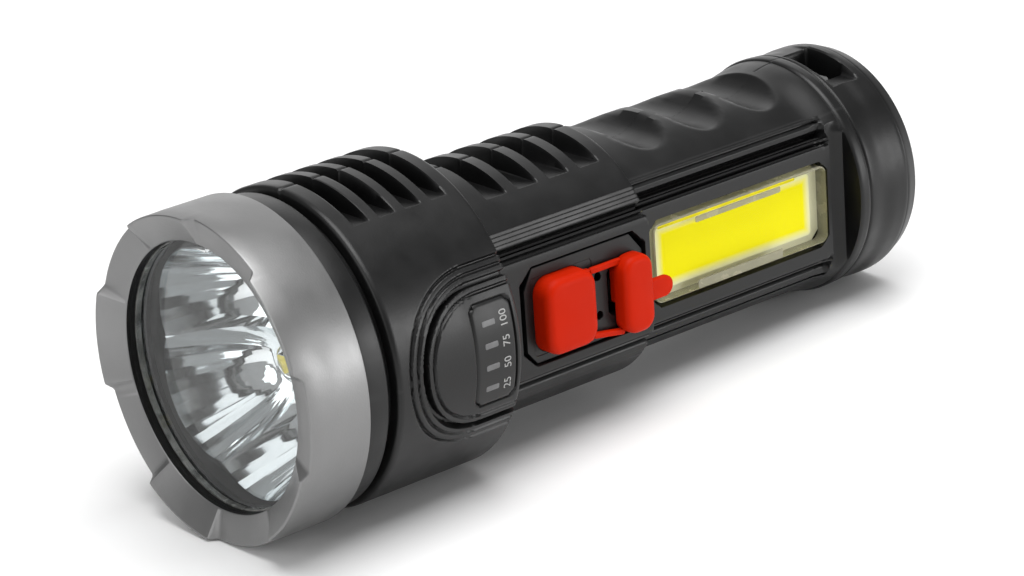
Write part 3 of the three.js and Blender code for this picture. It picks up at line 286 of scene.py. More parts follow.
def fade(tree, value, middle, start, end):
    """0 within start of the middle, rising to 1 at end."""
    offset = tree.nodes.new("ShaderNodeMath")
    offset.operation = "SUBTRACT"
    offset.inputs[1].default_value = middle
    tree.links.new(value, offset.inputs[0])
    size = tree.nodes.new("ShaderNodeMath")
    size.operation = "ABSOLUTE"
    tree.links.new(offset.outputs["Value"], size.inputs[0])
    return spread(tree, size.outputs["Value"], 0.0, 1.0, start, end)


MATERIALS = {
    "black_abs": solid_material("black_abs", (0.0032, 0.0032, 0.0033), 0.37, vary=0.2, bump=0.05,
                                specular=0.39, wear_and_highlight=0.8),
    "gunmetal": solid_material("gunmetal", (0.225, 0.225, 0.225), 0.42, metal=0.9, vary=0.06, grain=4000.0,
                               bump=0.1, stretch=(1.0, 0.6, 0.6), wear_and_highlight=0.5),
    "red_silicone": solid_material("red_silicone", (0.52, 0.014, 0.0), 0.5, vary=0.06, bump=0.05,
                                   specular=0.08),
    "black_rubber": solid_material("black_rubber", (0.003, 0.003, 0.003), 0.6, vary=0.2, bump=0.1,
                                   specular=0.2),
    "clear_plastic": clear_material("clear_plastic", (0.98, 0.985, 0.985), 0.015, 0.25),
    "smoked_plastic": solid_material("smoked_plastic", (0.005, 0.005, 0.005), 0.36, vary=0.08, bump=0.02,
                                     specular=0.42),
    "mirror_plating": solid_material("mirror_plating", (0.84, 0.87, 0.88), 0.06, metal=1.0, vary=0.03,
                                     bump=0.01, grain=300.0),
    "aluminium": solid_material("aluminium", (0.6, 0.61, 0.62), 0.4, metal=1.0, vary=0.06),
    "circuit_board": solid_material("circuit_board", (0.02, 0.11, 0.05), 0.4, vary=0.2),
    "phosphor": phosphor_material(),
    "white_board": solid_material("white_board", (0.72, 0.71, 0.64), 0.5, vary=0.05),
    "nickel": solid_material("nickel", (0.5, 0.5, 0.49), 0.3, metal=1.0, vary=0.06),
    "cell_wrap": solid_material("cell_wrap", (0.03, 0.12, 0.34), 0.4, vary=0.08),
    "grey_abs": solid_material("grey_abs", (0.07, 0.07, 0.075), 0.5, vary=0.1),
}
COB_CLEAR = clear_material("cob_clear", (0.98, 0.98, 0.92), 0.0, 0.12, rough=0.08)
COB_EDGE = clear_material("cob_edge", (0.6, 0.58, 0.45), 0.4, 0.75, rough=0.2, mirror=0.2)
# A grey, speckled ring: a painted glint where light catches the lens's edge.
LENS_GLINT_RING = solid_material("lens_glint_ring", (0.13, 0.13, 0.125), 0.25, vary=0.6, patch=350.0, bump=0.15,
                           grain=900.0)
BAR_GREY = solid_material("bar_grey", (0.13, 0.13, 0.132), 0.4, vary=0.1, patch=900.0)
PRINT_WHITE = solid_material("print_white", (0.36, 0.36, 0.355), 0.5, vary=0.06, patch=900.0)
# Yellow for the band on the cover's upper edge: a painted glow of the phosphor in the cover.
GLOW_YELLOW = solid_material("glow_yellow", (0.72, 0.62, 0.01), 0.5, vary=0.1, patch=300.0, specular=0.1)
LAMP_YELLOW = solid_material("lamp_yellow", (0.85, 0.72, 0.12), 0.25, vary=0.08, patch=900.0)


# -------- mesh helpers
def mesh_piece(name, corners, faces, slot, nodes=(), body=ROOT, material=None, sharp=40.0):
    """A piece from corners in millimetres. It replaces the CAD nodes and rides on the body."""
    mesh = bpy.data.meshes.new(name)
    mesh.from_pydata((np.asarray(corners, float) * MM).tolist(), [], faces)
    bm = bmesh.new()
    bm.from_mesh(mesh)
    bmesh.ops.remove_doubles(bm, verts=bm.verts, dist=1e-6)
    bmesh.ops.recalc_face_normals(bm, faces=bm.faces)
    bm.to_mesh(mesh)
    bm.free()
    mesh.materials.append(material or MATERIALS[slot])
    piece = in_scene(name, mesh)
    shade(piece, sharp)
    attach(piece, body)
    if nodes:
        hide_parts(*nodes)
    return piece


def in_scene(name, data):
    """A new object in the scene."""
    made = bpy.data.objects.new(name, data)
    bpy.context.scene.collection.objects.link(made)
    return made


def shade(piece, sharp):
    """Smooth shading, with edges past that angle kept sharp."""
    mesh = piece.data
    mesh.polygons.foreach_set("use_smooth", [True] * len(mesh.polygons))
    mesh.set_sharp_from_angle(angle=math.radians(sharp))


def grid_faces(rows, columns, wrap_columns=False, wrap_rows=False):
    """Quads over a grid of corners stored row by row."""
    faces = []
    for i in range(rows if wrap_rows else rows - 1):
        a, b = i * columns, (i + 1) % rows * columns
        for j in range(columns if wrap_columns else columns - 1):
            k = (j + 1) % columns
            faces.append((a + j, a + k, b + k, b + j))
    return faces


def closed_faces(rows, columns):
    """Quads round rows of corners, with the first and the last row closed."""
    ends = [tuple(range(columns)), tuple(range((rows - 1) * columns, rows * columns))]
    return grid_faces(rows, columns, wrap_columns=True) + ends


def lines(low, high, step, edges=(), fine=0.12, reach=0.45, count=None, zones=()):
    """Grid positions a step apart, closer in each zone (low, high, step) and round each edge."""
    fine_grid = np.linspace(low, high, 6001)
    density = np.full_like(fine_grid, 1 / step)
    for zone_low, zone_high, zone_step in zones:
        density = np.where((fine_grid > zone_low) & (fine_grid < zone_high), 1 / zone_step, density)
    for edge in edges:
        density = np.maximum(density, np.exp(-(((fine_grid - edge) / reach) ** 2)) / fine)
    total = np.concatenate([[0], np.cumsum((density[1:] + density[:-1]) / 2 * np.diff(fine_grid))])
    count = count or int(math.ceil(total[-1])) + 1
    return np.interp(np.linspace(0, total[-1], count), total, fine_grid)


def smooth_step(value):
    t = np.clip(value, 0, 1)
    return t * t * (3 - 2 * t)


def band(value, low, high, soft=0.22):
    """1 between low and high, with soft sides."""
    return smooth_step((value - low) / soft + 0.5) * smooth_step((high - value) / soft + 0.5)


def smooth_min(a, b, soft):
    """The lower of two, with the corner between them rounded."""
    h = np.clip(0.5 + 0.5 * (b - a) / soft, 0, 1)
    return b * (1 - h) + a * h - soft * h * (1 - h)


def inside_octagon(x, z, x0, x1, half, corner):
    """Distance inside the outline of a rectangle with cut corners, negative outside."""
    ends = np.minimum(x - x0, x1 - x)
    sides = half - np.abs(z)
    return np.minimum(np.minimum(ends, sides), (ends + sides - corner) / math.sqrt(2))


# -------- housing
def end_radius(x):
    """The bead and flare behind the grip."""
    bead = BEAD_R - 0.25 * (1 - band(x, TAIL_END + 0.2, BEAD_END - 0.2, 0.5))
    flare = GRIP_R + 0.9 * (1 - smooth_step((x - BEAD_END) / (FLARE_END - BEAD_END)))
    return np.where(x < BEAD_END, bead, flare)


def rounded_end(x, start, end, radius=0.5):
    """How far the surface drops at a section's two rounded ends."""
    gap = np.clip(radius - np.minimum(x - start, end - x), 0, radius)
    return radius - np.sqrt(np.maximum(radius * radius - gap * gap, 0))


def stepped_ribs(y, z, radius, steps, share=1.0):
    """Flat steps along both sides of the panel, each as low as the round body at its own height."""
    height, stepped = np.abs(z), y
    for low, high, at in steps:
        level = math.sqrt(radius ** 2 - at ** 2)
        level = level + 9.0 * (1 - smooth_step((height - low) / 0.12 + 0.5) * (height < high + 0.05))
        stepped = np.where(y > 0, np.minimum(stepped, level), stepped)
    return y + (stepped - y) * share


def side_grooves(y, z):
    """Depth of the grooves along the panel, and of the fine ones along the back."""
    height = np.abs(z)
    front = sum(depth * band(height, low, high, 0.3) for low, high, depth in GROOVES)
    back = sum(RIB_DEPTH * band(height, low, low + RIB_WIDTH) for low in BACK_RIBS)
    return np.where(y > 0, front, back)


def towards_axis(y, z, depth):
    """Moves points that deep towards the torch's axis."""
    scale = 1 - depth / np.hypot(y, z)
    return y * scale, z * scale


def top_slots(x, z, slots, floor):
    """Fin slots, sunk straight down to a flat floor."""
    in_slot = np.max([band(x, low, high, 0.3) for low, high in slots], axis=0)
    return z - np.maximum(z - floor, 0) * in_slot


def seam(y, z, depth=0.1, width=0.16):
    """A fine parting line where the two halves of the housing meet."""
    return depth * np.exp(-((y / width) ** 2)) * (np.abs(z) > 5)


def recessed(x, y, z, outline, floor):
    """Sinks the panel to a flat floor within an outline."""
    sunk = smooth_step(inside_octagon(x, z, **outline) / RECESS_RAMP) * (y > 0)
    return y - np.maximum(y - floor, 0) * sunk


def scooped(x, z):
    """The finger scoops across the top of the grip."""
    scoop = np.full_like(z, 100.0)
    for middle in SCOOPS:
        across = np.clip(np.abs(x - middle) / SCOOP_R, 0, 1)
        hollow = SCOOP_FLOOR + SCOOP_R * (1 - np.sqrt(1 - across ** 2)) + 100.0 * (across >= 1)
        scoop = np.minimum(scoop, hollow)
    return np.where(z > 0, smooth_min(z, scoop, 0.2), z)


def shadow_line(x, end):
    """Depth of the dark line just before the next, wider section."""
    return EDGE_SHADOW * smooth_step((x - end + SHADOW_WIDTH) / 0.35)


def tail_section(x, angle):
    """Bead, gutter and grip."""
    radius = end_radius(x)
    y, z = radius * np.cos(angle), radius * np.sin(angle)
    on_grip = smooth_step((x - GUTTER_END) / 0.5)
    y = np.where(x > BEAD_END, smooth_min(y, GRIP_PANEL, 0.25), y)
    gutter = smooth_step((x - BEAD_END + 0.1) / 2.3) * (1 - smooth_step((x - GUTTER_END) / 0.4 + 0.5))
    y = y - np.maximum(y - GUTTER_FLOOR, 0) * gutter
    ribs = stepped_ribs(y, z, GRIP_R, TAIL_STEPS)
    y = y + (ribs - y) * on_grip
    lip = LIP_HEIGHT * np.exp(-(((np.abs(z) - LIP) / LIP_WIDTH) ** 2)) * (y > 0)
    y, z = towards_axis(y, z, (side_grooves(y, z) - lip) * on_grip)
    y = recessed(x, y, z, COB_RECESS, COB_FLOOR)
    z = scooped(x, z)
    off_scoops = (z < 0) | (x < SCOOPS[0] - SCOOP_R)
    return towards_axis(y, z, seam(y, z) * off_scoops + shadow_line(x, MID_START))


def mid_section(x, angle):
    """The section with the control group."""
    radius = MID_R - rounded_end(x, MID_START, HEAD_START + 1)
    y, z = radius * np.cos(angle), radius * np.sin(angle)
    y = smooth_min(y, MID_PANEL, 0.25)
    y = stepped_ribs(y, z, MID_R, MID_STEPS, MID_STEP_SHARE)
    y, z = towards_axis(y, z, side_grooves(y, z))
    y = recessed(x, y, z, POCKET, POCKET_FLOOR)
    z = top_slots(x, z, MID_SLOTS, MID_SLOT_FLOOR)
    return towards_axis(y, z, seam(y, z, 0.3, 0.28) + shadow_line(x, HEAD_START))


def head_section(x, angle):
    """The widest section, with the gauge in its U of grooves."""
    radius = HEAD_R - rounded_end(x, HEAD_START, HEAD_END, 0.8)
    y, z = radius * np.cos(angle), radius * np.sin(angle)
    arc = np.where(np.cos(angle) > 0, np.abs(angle) * HEAD_R, 100.0)
    away = np.where(x > U_CENTRE, np.hypot(x - U_CENTRE, arc), arc)
    grooves = sum(depth * band(away, r - width / 2, r + width / 2, 0.3) for r, width, depth in U_GROOVES)
    sunk = GAUGE_DEPTH * smooth_step(inside_octagon(x, z, **GAUGE_RECESS) / RECESS_RAMP) * (y > 0)
    y, z = towards_axis(y, z, grooves + sunk)
    z = top_slots(x, z, HEAD_SLOTS, HEAD_SLOT_FLOOR)
    return towards_axis(y, z, seam(y, z, 0.3, 0.28))


def slot_ends(slots):
    return [edge for pair in slots for edge in pair]


def angles_for(half_turn, count, radius, heights, panel_half):
    """Directions round a section, closer over the panel, its ribs, the top and each height."""
    marks = [s * math.asin(min(1, h / radius)) for h in heights for s in (1, -1)]
    marks += [math.pi - m for m in marks]
    marks += [math.pi / 2, -math.pi / 2, 3 * math.pi / 2]
    zones = [(-panel_half / radius, panel_half / radius, 0.32 / radius), (*TOP_ZONE, 0.6 / radius)]
    ribs = [math.asin(h / radius) for h in RIB_ZONE]
    zones += [(ribs[0], ribs[1], 0.17 / radius), (-ribs[1], -ribs[0], 0.17 / radius)]
    return lines(*half_turn, 0.06, marks, 0.13 / radius, 0.45 / radius, count, zones)


def housing_rings(half_turn, count, step):
    """Rings of outer corners for the three sections, each with its own spacing."""
    cob, pocket, gauge = COB_RECESS, POCKET, GAUGE_RECESS
    tail_x = lines(TAIL_END, MID_START, step * 1.6,
                   [TAIL_END, BEAD_END, GUTTER_END, cob["x0"] + 0.2, cob["x0"] + 1.2, cob["x1"] - 1.5,
                    cob["x1"] - 0.4, MID_START], 0.14,
                   zones=[(cob["x0"], cob["x0"] + 2.2, 0.2), (cob["x1"] - 2.4, cob["x1"] - 0.2, 0.2)])
    mid_x = lines(MID_START, HEAD_START, step,
                  [MID_START, pocket["x0"], pocket["x1"]] + slot_ends(MID_SLOTS), 0.14,
                  zones=[(pocket["x0"] - 0.3, pocket["x0"] + 3.2, 0.2),
                         (pocket["x1"] - 3.2, pocket["x1"] + 0.3, 0.2)])
    head_x = lines(HEAD_START, HEAD_END, step,
                   [HEAD_START, gauge["x0"] - 0.15, gauge["x1"] + 0.15, HEAD_END] + slot_ends(HEAD_SLOTS),
                   0.14, zones=[(U_CENTRE + 3.0, U_CENTRE + 16.1, 0.2)])
    tail_angles = angles_for(half_turn, count, GRIP_R, [cob["half"] - 0.15], 8.3)
    mid_angles = angles_for(half_turn, count, MID_R, [pocket["half"] - 0.15, MID_SLOT_FLOOR], 9.6)
    head_angles = angles_for(half_turn, count, HEAD_R, [gauge["half"] + 0.03, HEAD_SLOT_FLOOR], 16.4)
    sections = ((tail_x, tail_angles, tail_section, GRIP_BORE, GRIP_BORE_FLAT),
                (mid_x, mid_angles, mid_section, MID_BORE, MID_BORE_FLAT),
                (head_x, head_angles, head_section, HEAD_BORE, HEAD_BORE))
    for xs, angles, surface, bore, flat in sections:
        y, z = surface(xs[:, None], angles[None, :])
        yield xs, y, z, bore, flat


def housing_half(name, node, half_turn, count, step, inner_count=24):
    """One half of the housing: a detailed outside closed by a plain bore."""
    corners, rows = [], 0
    inner = np.linspace(half_turn[1], half_turn[0], inner_count)
    for xs, y, z, bore, flat in housing_rings(half_turn, count, step):
        bore_y = np.minimum(bore * np.cos(inner), flat)
        bore_z = bore * np.sin(inner)
        for i, x in enumerate(xs):
            ring_y = np.concatenate([y[i], bore_y])
            ring_z = np.concatenate([z[i], bore_z])
            corners.append(np.column_stack([np.full_like(ring_y, x), ring_y, ring_z]))
            rows += 1
    mesh_piece(name, np.concatenate(corners), closed_faces(rows, count + inner_count), "black_abs", [node],
               sharp=38.0)


# -------- turned pieces
def rounded_profile(points, radius, steps=3):
    """Profile corners of [x, r], each rounded; radius is one size or one for each corner."""
    points = [np.array(p, float) for p in points]
    sizes = [radius] * len(points) if np.isscalar(radius) else radius
    rounded = []
    for i, corner in enumerate(points):
        before, after = points[i - 1], points[(i + 1) % len(points)]
        if sizes[i] <= 0:
            rounded.append(corner)
            continue
        reach = [min(sizes[i], 0.45 * np.linalg.norm(p - corner)) for p in (before, after)]
        start = corner + (before - corner) / np.linalg.norm(before - corner) * reach[0]
        end = corner + (after - corner) / np.linalg.norm(after - corner) * reach[1]
        for t in np.linspace(0, 1, steps + 1):
            rounded.append((1 - t) ** 2 * start + 2 * t * (1 - t) * corner + t * t * end)
    return np.array(rounded)


def turned_piece(name, profile, slot, nodes, segments=144, shape=None, **more):
    """A closed profile of [x, r] turned about the X axis. shape moves its corners."""
    angles = np.linspace(0, 2 * math.pi, segments, endpoint=False)
    x = np.repeat(profile[:, :1], segments, 1)
    r = np.repeat(profile[:, 1:], segments, 1)
    if shape:
        x, r = shape(x, r, angles[None, :])
    corners = np.stack([x, r * np.cos(angles), r * np.sin(angles)], 2).reshape(-1, 3)
    faces = grid_faces(len(profile), segments, wrap_columns=True, wrap_rows=True)
    return mesh_piece(name, corners, faces, slot, nodes, **more)


def rim_lugs(x, r, angle):
    """Raises the front of the bezel at five lugs with sloped ends, less towards the window."""
    turn = (angle - LAMP_ANGLE + LAMP_STEP / 2) % LAMP_STEP - LAMP_STEP / 2
    lift = np.clip((LUG_HALF - np.abs(turn)) / LUG_RAMP + 0.5, 0, 1) * RIM_LUG
    front = np.clip((x - (RIM_FLOOR - RIM_HEIGHT)) / 1.3, 0, 1)
    outward = np.clip((r - WINDOW_R) / (BEZEL_R - 0.6 - WINDOW_R), 0, 1)
    return x + lift * front * outward, r


def bezel():
    """The ring in front, gunmetal outside and black on the faces that look inwards, partly their dark finish
    and partly painted shade in the bore.
    """
    seal_front = node_box("lens_seal")[1].x
    bore = node_box("front_lens")[1].y + 0.3
    points = [(BEZEL_START, bore), (BEZEL_START, BEZEL_R), (RIM_FLOOR - RIM_HEIGHT, BEZEL_R),
              (RIM_FLOOR, BEZEL_R - 0.1), (RIM_FLOOR - RIM_DISH, WINDOW_R), (seal_front, WINDOW_R),
              (seal_front, bore)]
    sizes = [0, 0.35, 0, 0.45, 0.25, 0, 0]
    ring = turned_piece("bezel", rounded_profile(points, sizes), "gunmetal", ["bezel_ring"],
                        segments=360, shape=rim_lugs, sharp=24.0)
    # The inward faces turn black: partly their finish, partly painted shade in the bore behind the rim.
    ring.data.materials.append(MATERIALS["black_rubber"])
    for face in ring.data.polygons:
        out = math.hypot(face.center.y, face.center.z)
        facing_in = face.normal.y * face.center.y + face.normal.z * face.center.z < -0.9 * out
        if facing_in or face.normal.x < -0.9 and face.center.x > BEZEL_START * MM + 0.001:
            face.material_index = 1


def collar():
    low, high = node_box("head_collar")
    thread = node_box("front_lens")[1].y
    points = [(low.x, COLLAR_BORE), (low.x, COLLAR_SEAT), (HEAD_END, COLLAR_SEAT),
              (HEAD_END, COLLAR_GROOVE), (COLLAR_START, COLLAR_GROOVE), (COLLAR_START, COLLAR_R),
              (BEZEL_START, COLLAR_R), (BEZEL_START, thread), (high.x, thread), (high.x, COLLAR_BORE)]
    sizes = [0, 0, 0, 0, 0.2, 0.45, 0.45, 0, 0, 0]
    turned_piece("collar", rounded_profile(points, sizes), "black_abs", ["head_collar"])


def front_glass():
    """The clear disc, a grey rim round it speckled as a painted glint in the lens's edge, and the black seat
    behind that rim.
    """
    low, high = node_box("front_lens")
    edge = WINDOW_R - 0.25
    points = [(low.x, 0.01), (low.x, edge), (high.x, edge), (high.x, 0.01)]
    turned_piece("front_glass", np.array(points), "clear_plastic", ["front_lens"], segments=96)
    seat_end = high.x - GLASS_RIM - 0.02
    for name, start, end, material in (("glass_rim_glint", high.x - GLASS_RIM, high.x, LENS_GLINT_RING),
                                       ("glass_seat", low.x, seat_end, MATERIALS["black_rubber"])):
        points = [(start, edge + 0.02), (start, high.y), (end, high.y), (end, edge + 0.02)]
        turned_piece(name, rounded_profile(points, [0.1, 0.2, 0.2, 0.1]), "clear_plastic", [], segments=96,
                     material=material)


def seal_ring():
    low, high = node_box("lens_seal")
    points = [(low.x, WINDOW_R - 0.02), (low.x, high.y), (high.x, high.y), (high.x, WINDOW_R - 0.02)]
    turned_piece("seal_ring", rounded_profile(points, 0.2), "black_rubber", ["lens_seal"], segments=96)


# -------- reflector
def outline_reach(turn):
    """How far the wavy outline of the reflector is from a cup's centre in each direction."""
    reach = np.full_like(turn, REFLECTOR_EDGE - CUP_RING)
    for _ in range(8):
        u, v = CUP_RING + reach * np.cos(turn), reach * np.sin(turn)
        edge = REFLECTOR_EDGE - REFLECTOR_WAVE * (1 - np.cos(5 * np.arctan2(v, u))) / 2
        reach = np.sqrt(edge ** 2 - (CUP_RING * np.sin(turn)) ** 2) - CUP_RING * np.cos(turn)
    return reach


def fifth_reach(turn):
    """How far the sides of a cup's own fifth of the disc are from its centre."""
    wedge, reach = LAMP_STEP / 2, np.full_like(turn, 1e3)
    for side in (1, -1):
        away = side * np.sin(turn) * math.cos(wedge) - np.cos(turn) * math.sin(wedge)
        crossing = CUP_RING * math.sin(wedge) / np.maximum(away, 1e-6)
        reach = np.where(away > 1e-6, np.minimum(reach, crossing), reach)
    return reach


def cup_rings():
    """Directions round a cup, and its rings of (reach, x) from throat to outline."""
    pitch, dip = 2 * math.pi / CUP_FLUTES, REFLECTOR_EDGE - REFLECTOR_WAVE
    corner = math.atan2(dip * math.sin(LAMP_STEP / 2), dip * math.cos(LAMP_STEP / 2) - CUP_RING)
    turn = np.linspace(-math.pi, math.pi, CUP_FLUTES * 4, endpoint=False)
    turn = np.sort(np.concatenate([turn, [corner, -corner]]))
    flat = math.cos(pitch / 2) / np.cos((turn + pitch / 2) % pitch - pitch / 2)
    reach = np.minimum(outline_reach(turn), fifth_reach(turn))
    whole_mouth = CUP_MOUTH * (1 + CUP_WIDENING * (1 - np.cos(turn)))
    mouth, throat = np.minimum(whole_mouth * flat, reach), CUP_THROAT * flat
    steep = math.radians(78)
    rings = []
    for t in np.linspace(0, 1, 15):
        r = throat + (mouth - throat) * math.tan(t * steep) / math.tan(steep)
        share = np.clip((r / flat - CUP_THROAT) / (whole_mouth - CUP_THROAT), 0, 1)
        rings.append((r, REFLECTOR_TOP - (REFLECTOR_TOP - CUP_FLOOR) * (1 - share ** 2)))
    rings.append((reach, np.where(reach > mouth, REFLECTOR_TOP, rings[-1][1])))
    return turn, rings


def reflector():
    """Five deep cups of flat flutes, each in its own fifth of the disc."""
    turn, rings = cup_rings()
    corners, faces = [], []
    for i in range(5):
        angle, base = CUP_ANGLE + i * LAMP_STEP, len(corners) * len(turn)
        for r, x in rings:
            u, v = CUP_RING + r * np.cos(turn), r * np.sin(turn)
            corners.append(np.column_stack([x, u * math.cos(angle) - v * math.sin(angle),
                                            u * math.sin(angle) + v * math.cos(angle)]))
        faces += [tuple(base + k for k in f) for f in grid_faces(len(rings), len(turn), wrap_columns=True)]
    piece = mesh_piece("fluted_reflector", np.concatenate(corners), faces, "mirror_plating", ["reflector"],
                       sharp=9.0)
    wall = piece.modifiers.new("wall", "SOLIDIFY")
    wall.thickness = REFLECTOR_WALL * MM
    wall.offset = 1.0 if piece.data.polygons[0].normal.x < 0 else -1.0


def lamps():
    """A square lamp at the throat of each cup."""
    floor = node_box("led_board")[1].x
    low, high = Vector((-LAMP_HALF, 0, -LAMP_HALF)), Vector((LAMP_HALF, 0, LAMP_HALF))
    for i in range(5):
        angle = CUP_ANGLE + i * LAMP_STEP
        lamp = block(f"lamp_{i + 1}", low, high, 0.4, [(0.0, 0.0), (0.7, 0.0), (0.8, 0.5)], "phosphor",
                     [f"main_lamp_{i + 1}"], crown=0.5, material=LAMP_YELLOW)
        out = Vector((0, math.cos(angle), math.sin(angle)))
        stand = Matrix(((0, 1, 0), (out.z, 0, out.y), (-out.y, 0, out.z))).to_4x4()
        stand.translation = (Vector((floor, 0, 0)) + CUP_RING * out) * MM
        lamp.data.transform(stand)


# -------- blocks on the panel
def rounded_outline(x0, x1, half, corner, steps=6, z0=0.0):
    """Corners in X and Z of a rectangle with rounded corners."""
    centres = [(x1 - corner, half - corner, 0), (x0 + corner, half - corner, 90),
               (x0 + corner, corner - half, 180), (x1 - corner, corner - half, 270)]
    outline = []
    for cx, cz, start in centres:
        for t in np.radians(np.linspace(start, start + 90, steps + 1)):
            outline.append((cx + corner * math.cos(t), z0 + cz + corner * math.sin(t)))
    return np.array(outline)


def level_ring(outline, height):
    """An outline in X and Z, set at a height."""
    return np.column_stack([outline[:, 0], np.full(len(outline), height), outline[:, 1]])


def block(name, low, high, corner, levels, slot, nodes=(), body=ROOT, crown=0.0, **more):
    """A rounded block that rises along +Y. levels are (height, inset) from bottom to top."""
    x0, x1, half, z0 = low.x, high.x, (high.z - low.z) / 2, (high.z + low.z) / 2
    rings = []
    for height, inset in levels:
        outline = rounded_outline(x0 + inset, x1 - inset, half - inset, max(corner - inset, 0.25), z0=z0)
        rings.append(level_ring(outline, height))
    top = levels[-1][0]
    middle = np.array([(x0 + x1) / 2, top, z0])
    for shrink in (0.85, 0.6, 0.3):
        ring = middle + (rings[len(levels) - 1] - middle) * shrink
        ring[:, 1] = top + crown * (1 - shrink ** 2)
        rings.append(ring)
    faces = closed_faces(len(rings), len(rings[0]))
    return mesh_piece(name, np.concatenate(rings), faces, slot, nodes, body, **more)


def rounded_top(bottom, top, radius, steps=5):
    """Levels of a straight side and a quarter-round top edge."""
    arc = [(top - radius + radius * math.sin(t), radius * (1 - math.cos(t)))
           for t in np.linspace(0, math.pi / 2, steps + 1)]
    return [(bottom, 0.0)] + arc


def join(pieces):
    """Merges pieces of one body into the first."""
    bpy.ops.object.select_all(action="DESELECT")
    for piece in pieces:
        piece.select_set(True)
    bpy.context.view_layer.objects.active = pieces[0]
    bpy.ops.object.join()
    return pieces[0]


def cut(piece, cutter, sharp):
    """Takes one closed piece out of another."""
    hole = piece.modifiers.new("hole", "BOOLEAN")
    hole.operation = "DIFFERENCE"
    hole.solver = "EXACT"
    hole.object = cutter
    graph = bpy.context.evaluated_depsgraph_get()
    mesh = bpy.data.meshes.new_from_object(piece.evaluated_get(graph))
    piece.modifiers.clear()
    piece.data = mesh
    bpy.data.objects.remove(cutter)
    shade(piece, sharp)


def softened(name, node, slot, width, segments):
    """A CAD node's own shape with its flat faces joined up and its edges rounded."""
    mesh = frame["nodes"][node].data.copy()
    mesh.name = name
    bm = bmesh.new()
    bm.from_mesh(mesh)
    bmesh.ops.remove_doubles(bm, verts=bm.verts, dist=1e-6)
    bmesh.ops.dissolve_limit(bm, angle_limit=math.radians(1), verts=bm.verts, edges=bm.edges)
    bm.to_mesh(mesh)
    bm.free()
    mesh.materials.clear()
    mesh.materials.append(MATERIALS[slot])
    piece = in_scene(name, mesh)
    bevel = piece.modifiers.new("edges", "BEVEL")
    bevel.width = width * MM
    bevel.segments = segments
    bevel.limit_method = "ANGLE"
    bevel.angle_limit = math.radians(40)
    shade(piece, 40.0)
    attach(piece, ROOT)
    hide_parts(node)
    return piece


def panel_plate():
    """The plate, stretched up, down and to the rear, with its front end drawn in."""
    plate = softened("panel_plate", "control_plate", "black_abs", 0.5, 2)
    low, high = node_box("control_plate")
    front, rear = (high.x - 1.9) * MM, (low.x + 3.3) * MM
    for corner in plate.data.vertices:
        if corner.co.x > front:
            corner.co.x -= 0.4 * MM
        if corner.co.x < rear:
            corner.co.x -= 0.2 * (rear - corner.co.x)
        upper = min(max((corner.co.z / MM - 5.5) / 2.2, 0.0), 1.0)
        corner.co.z += (PLATE_RISE * upper - PLATE_DROP * (1 - upper)) * MM


def button_box():
    """The button's box, drawn down at its lower side."""
    low, high = node_box("power_button")
    low.z -= BUTTON_DROP
    return low, high


def button():
    low, high = button_box()
    base = node_box("control_plate")[0].y + 0.1
    levels = [(base, 0.0)] + rounded_top(base + 0.5, high.y - 0.25, 1.5)[1:]
    block("silicone_button", low, high, BUTTON_CORNER, levels, "red_silicone", ["power_button"], "button",
          crown=0.2)


def button_skirt():
    """The rubber skirt between the button and the edge of the plate's opening."""
    low, high = button_box()
    half, middle, bottom = (high.z - low.z) / 2, (high.z + low.z) / 2, SKIRT_TOP - 2.1
    outer = rounded_outline(low.x - 1.8, high.x + 0.7, half + 0.6, 0.8, z0=middle)
    inner = rounded_outline(low.x - SKIRT_GAP, high.x + SKIRT_GAP, half + SKIRT_GAP, BUTTON_CORNER, z0=middle)
    levels = ((outer, bottom), (outer, SKIRT_TOP), (inner, SKIRT_TOP), (inner, bottom))
    rings = [level_ring(outline, height) for outline, height in levels]
    faces = grid_faces(4, len(rings[0]), wrap_columns=True, wrap_rows=True)
    mesh_piece("button_skirt", np.concatenate(rings), faces, "black_rubber", ["button_boot"],
               material=MATERIALS["black_abs"])


def cover():
    """Lid, plug, pull tab and straps of the port cover, which swing as one."""
    low, high = node_box("port_cover")
    hinge_x, bottom = button_box()[0].x - 1.0, node_box("control_plate")[1].y + 0.3
    rear, lid_front = low.x + LID_REAR, low.x + LID_FRONT
    lid_low = Vector((rear, 0, -high.z - COVER_DROP - LID_EXTRA))
    lid_high = Vector((lid_front, 0, high.z - COVER_DROP))
    lid_levels = rounded_top(bottom, high.y - 0.15, 1.2)
    lid = block("cover_lid", lid_low, lid_high, 2.6, lid_levels, "red_silicone", ["port_cover"], "cover",
                crown=0.15)
    plug = block("cover_plug", Vector((PLUG_REAR, 0, -PLUG_HALF)), Vector((PLUG_FRONT, 0, PLUG_HALF)), 0.6,
                 [(low.y, 0.2), (low.y + 0.2, 0.0), (bottom + 0.3, 0.0)], "red_silicone", body="cover")
    tab = block("cover_tab", Vector((low.x, 0, TAB_LOW)), Vector((rear + 1.4, 0, TAB_HIGH)), 1.84,
                [(bottom + 0.6, 0.15), (bottom + 0.75, 0.0), (bottom + 1.4, 0.0), (bottom + 1.6, 0.2)],
                "red_silicone", body="cover")
    straps = [strap(name, side, hinge_x, lid_front, bottom) for name, side in (("upper", 1), ("lower", -1))]
    join([lid, plug, tab, *straps])


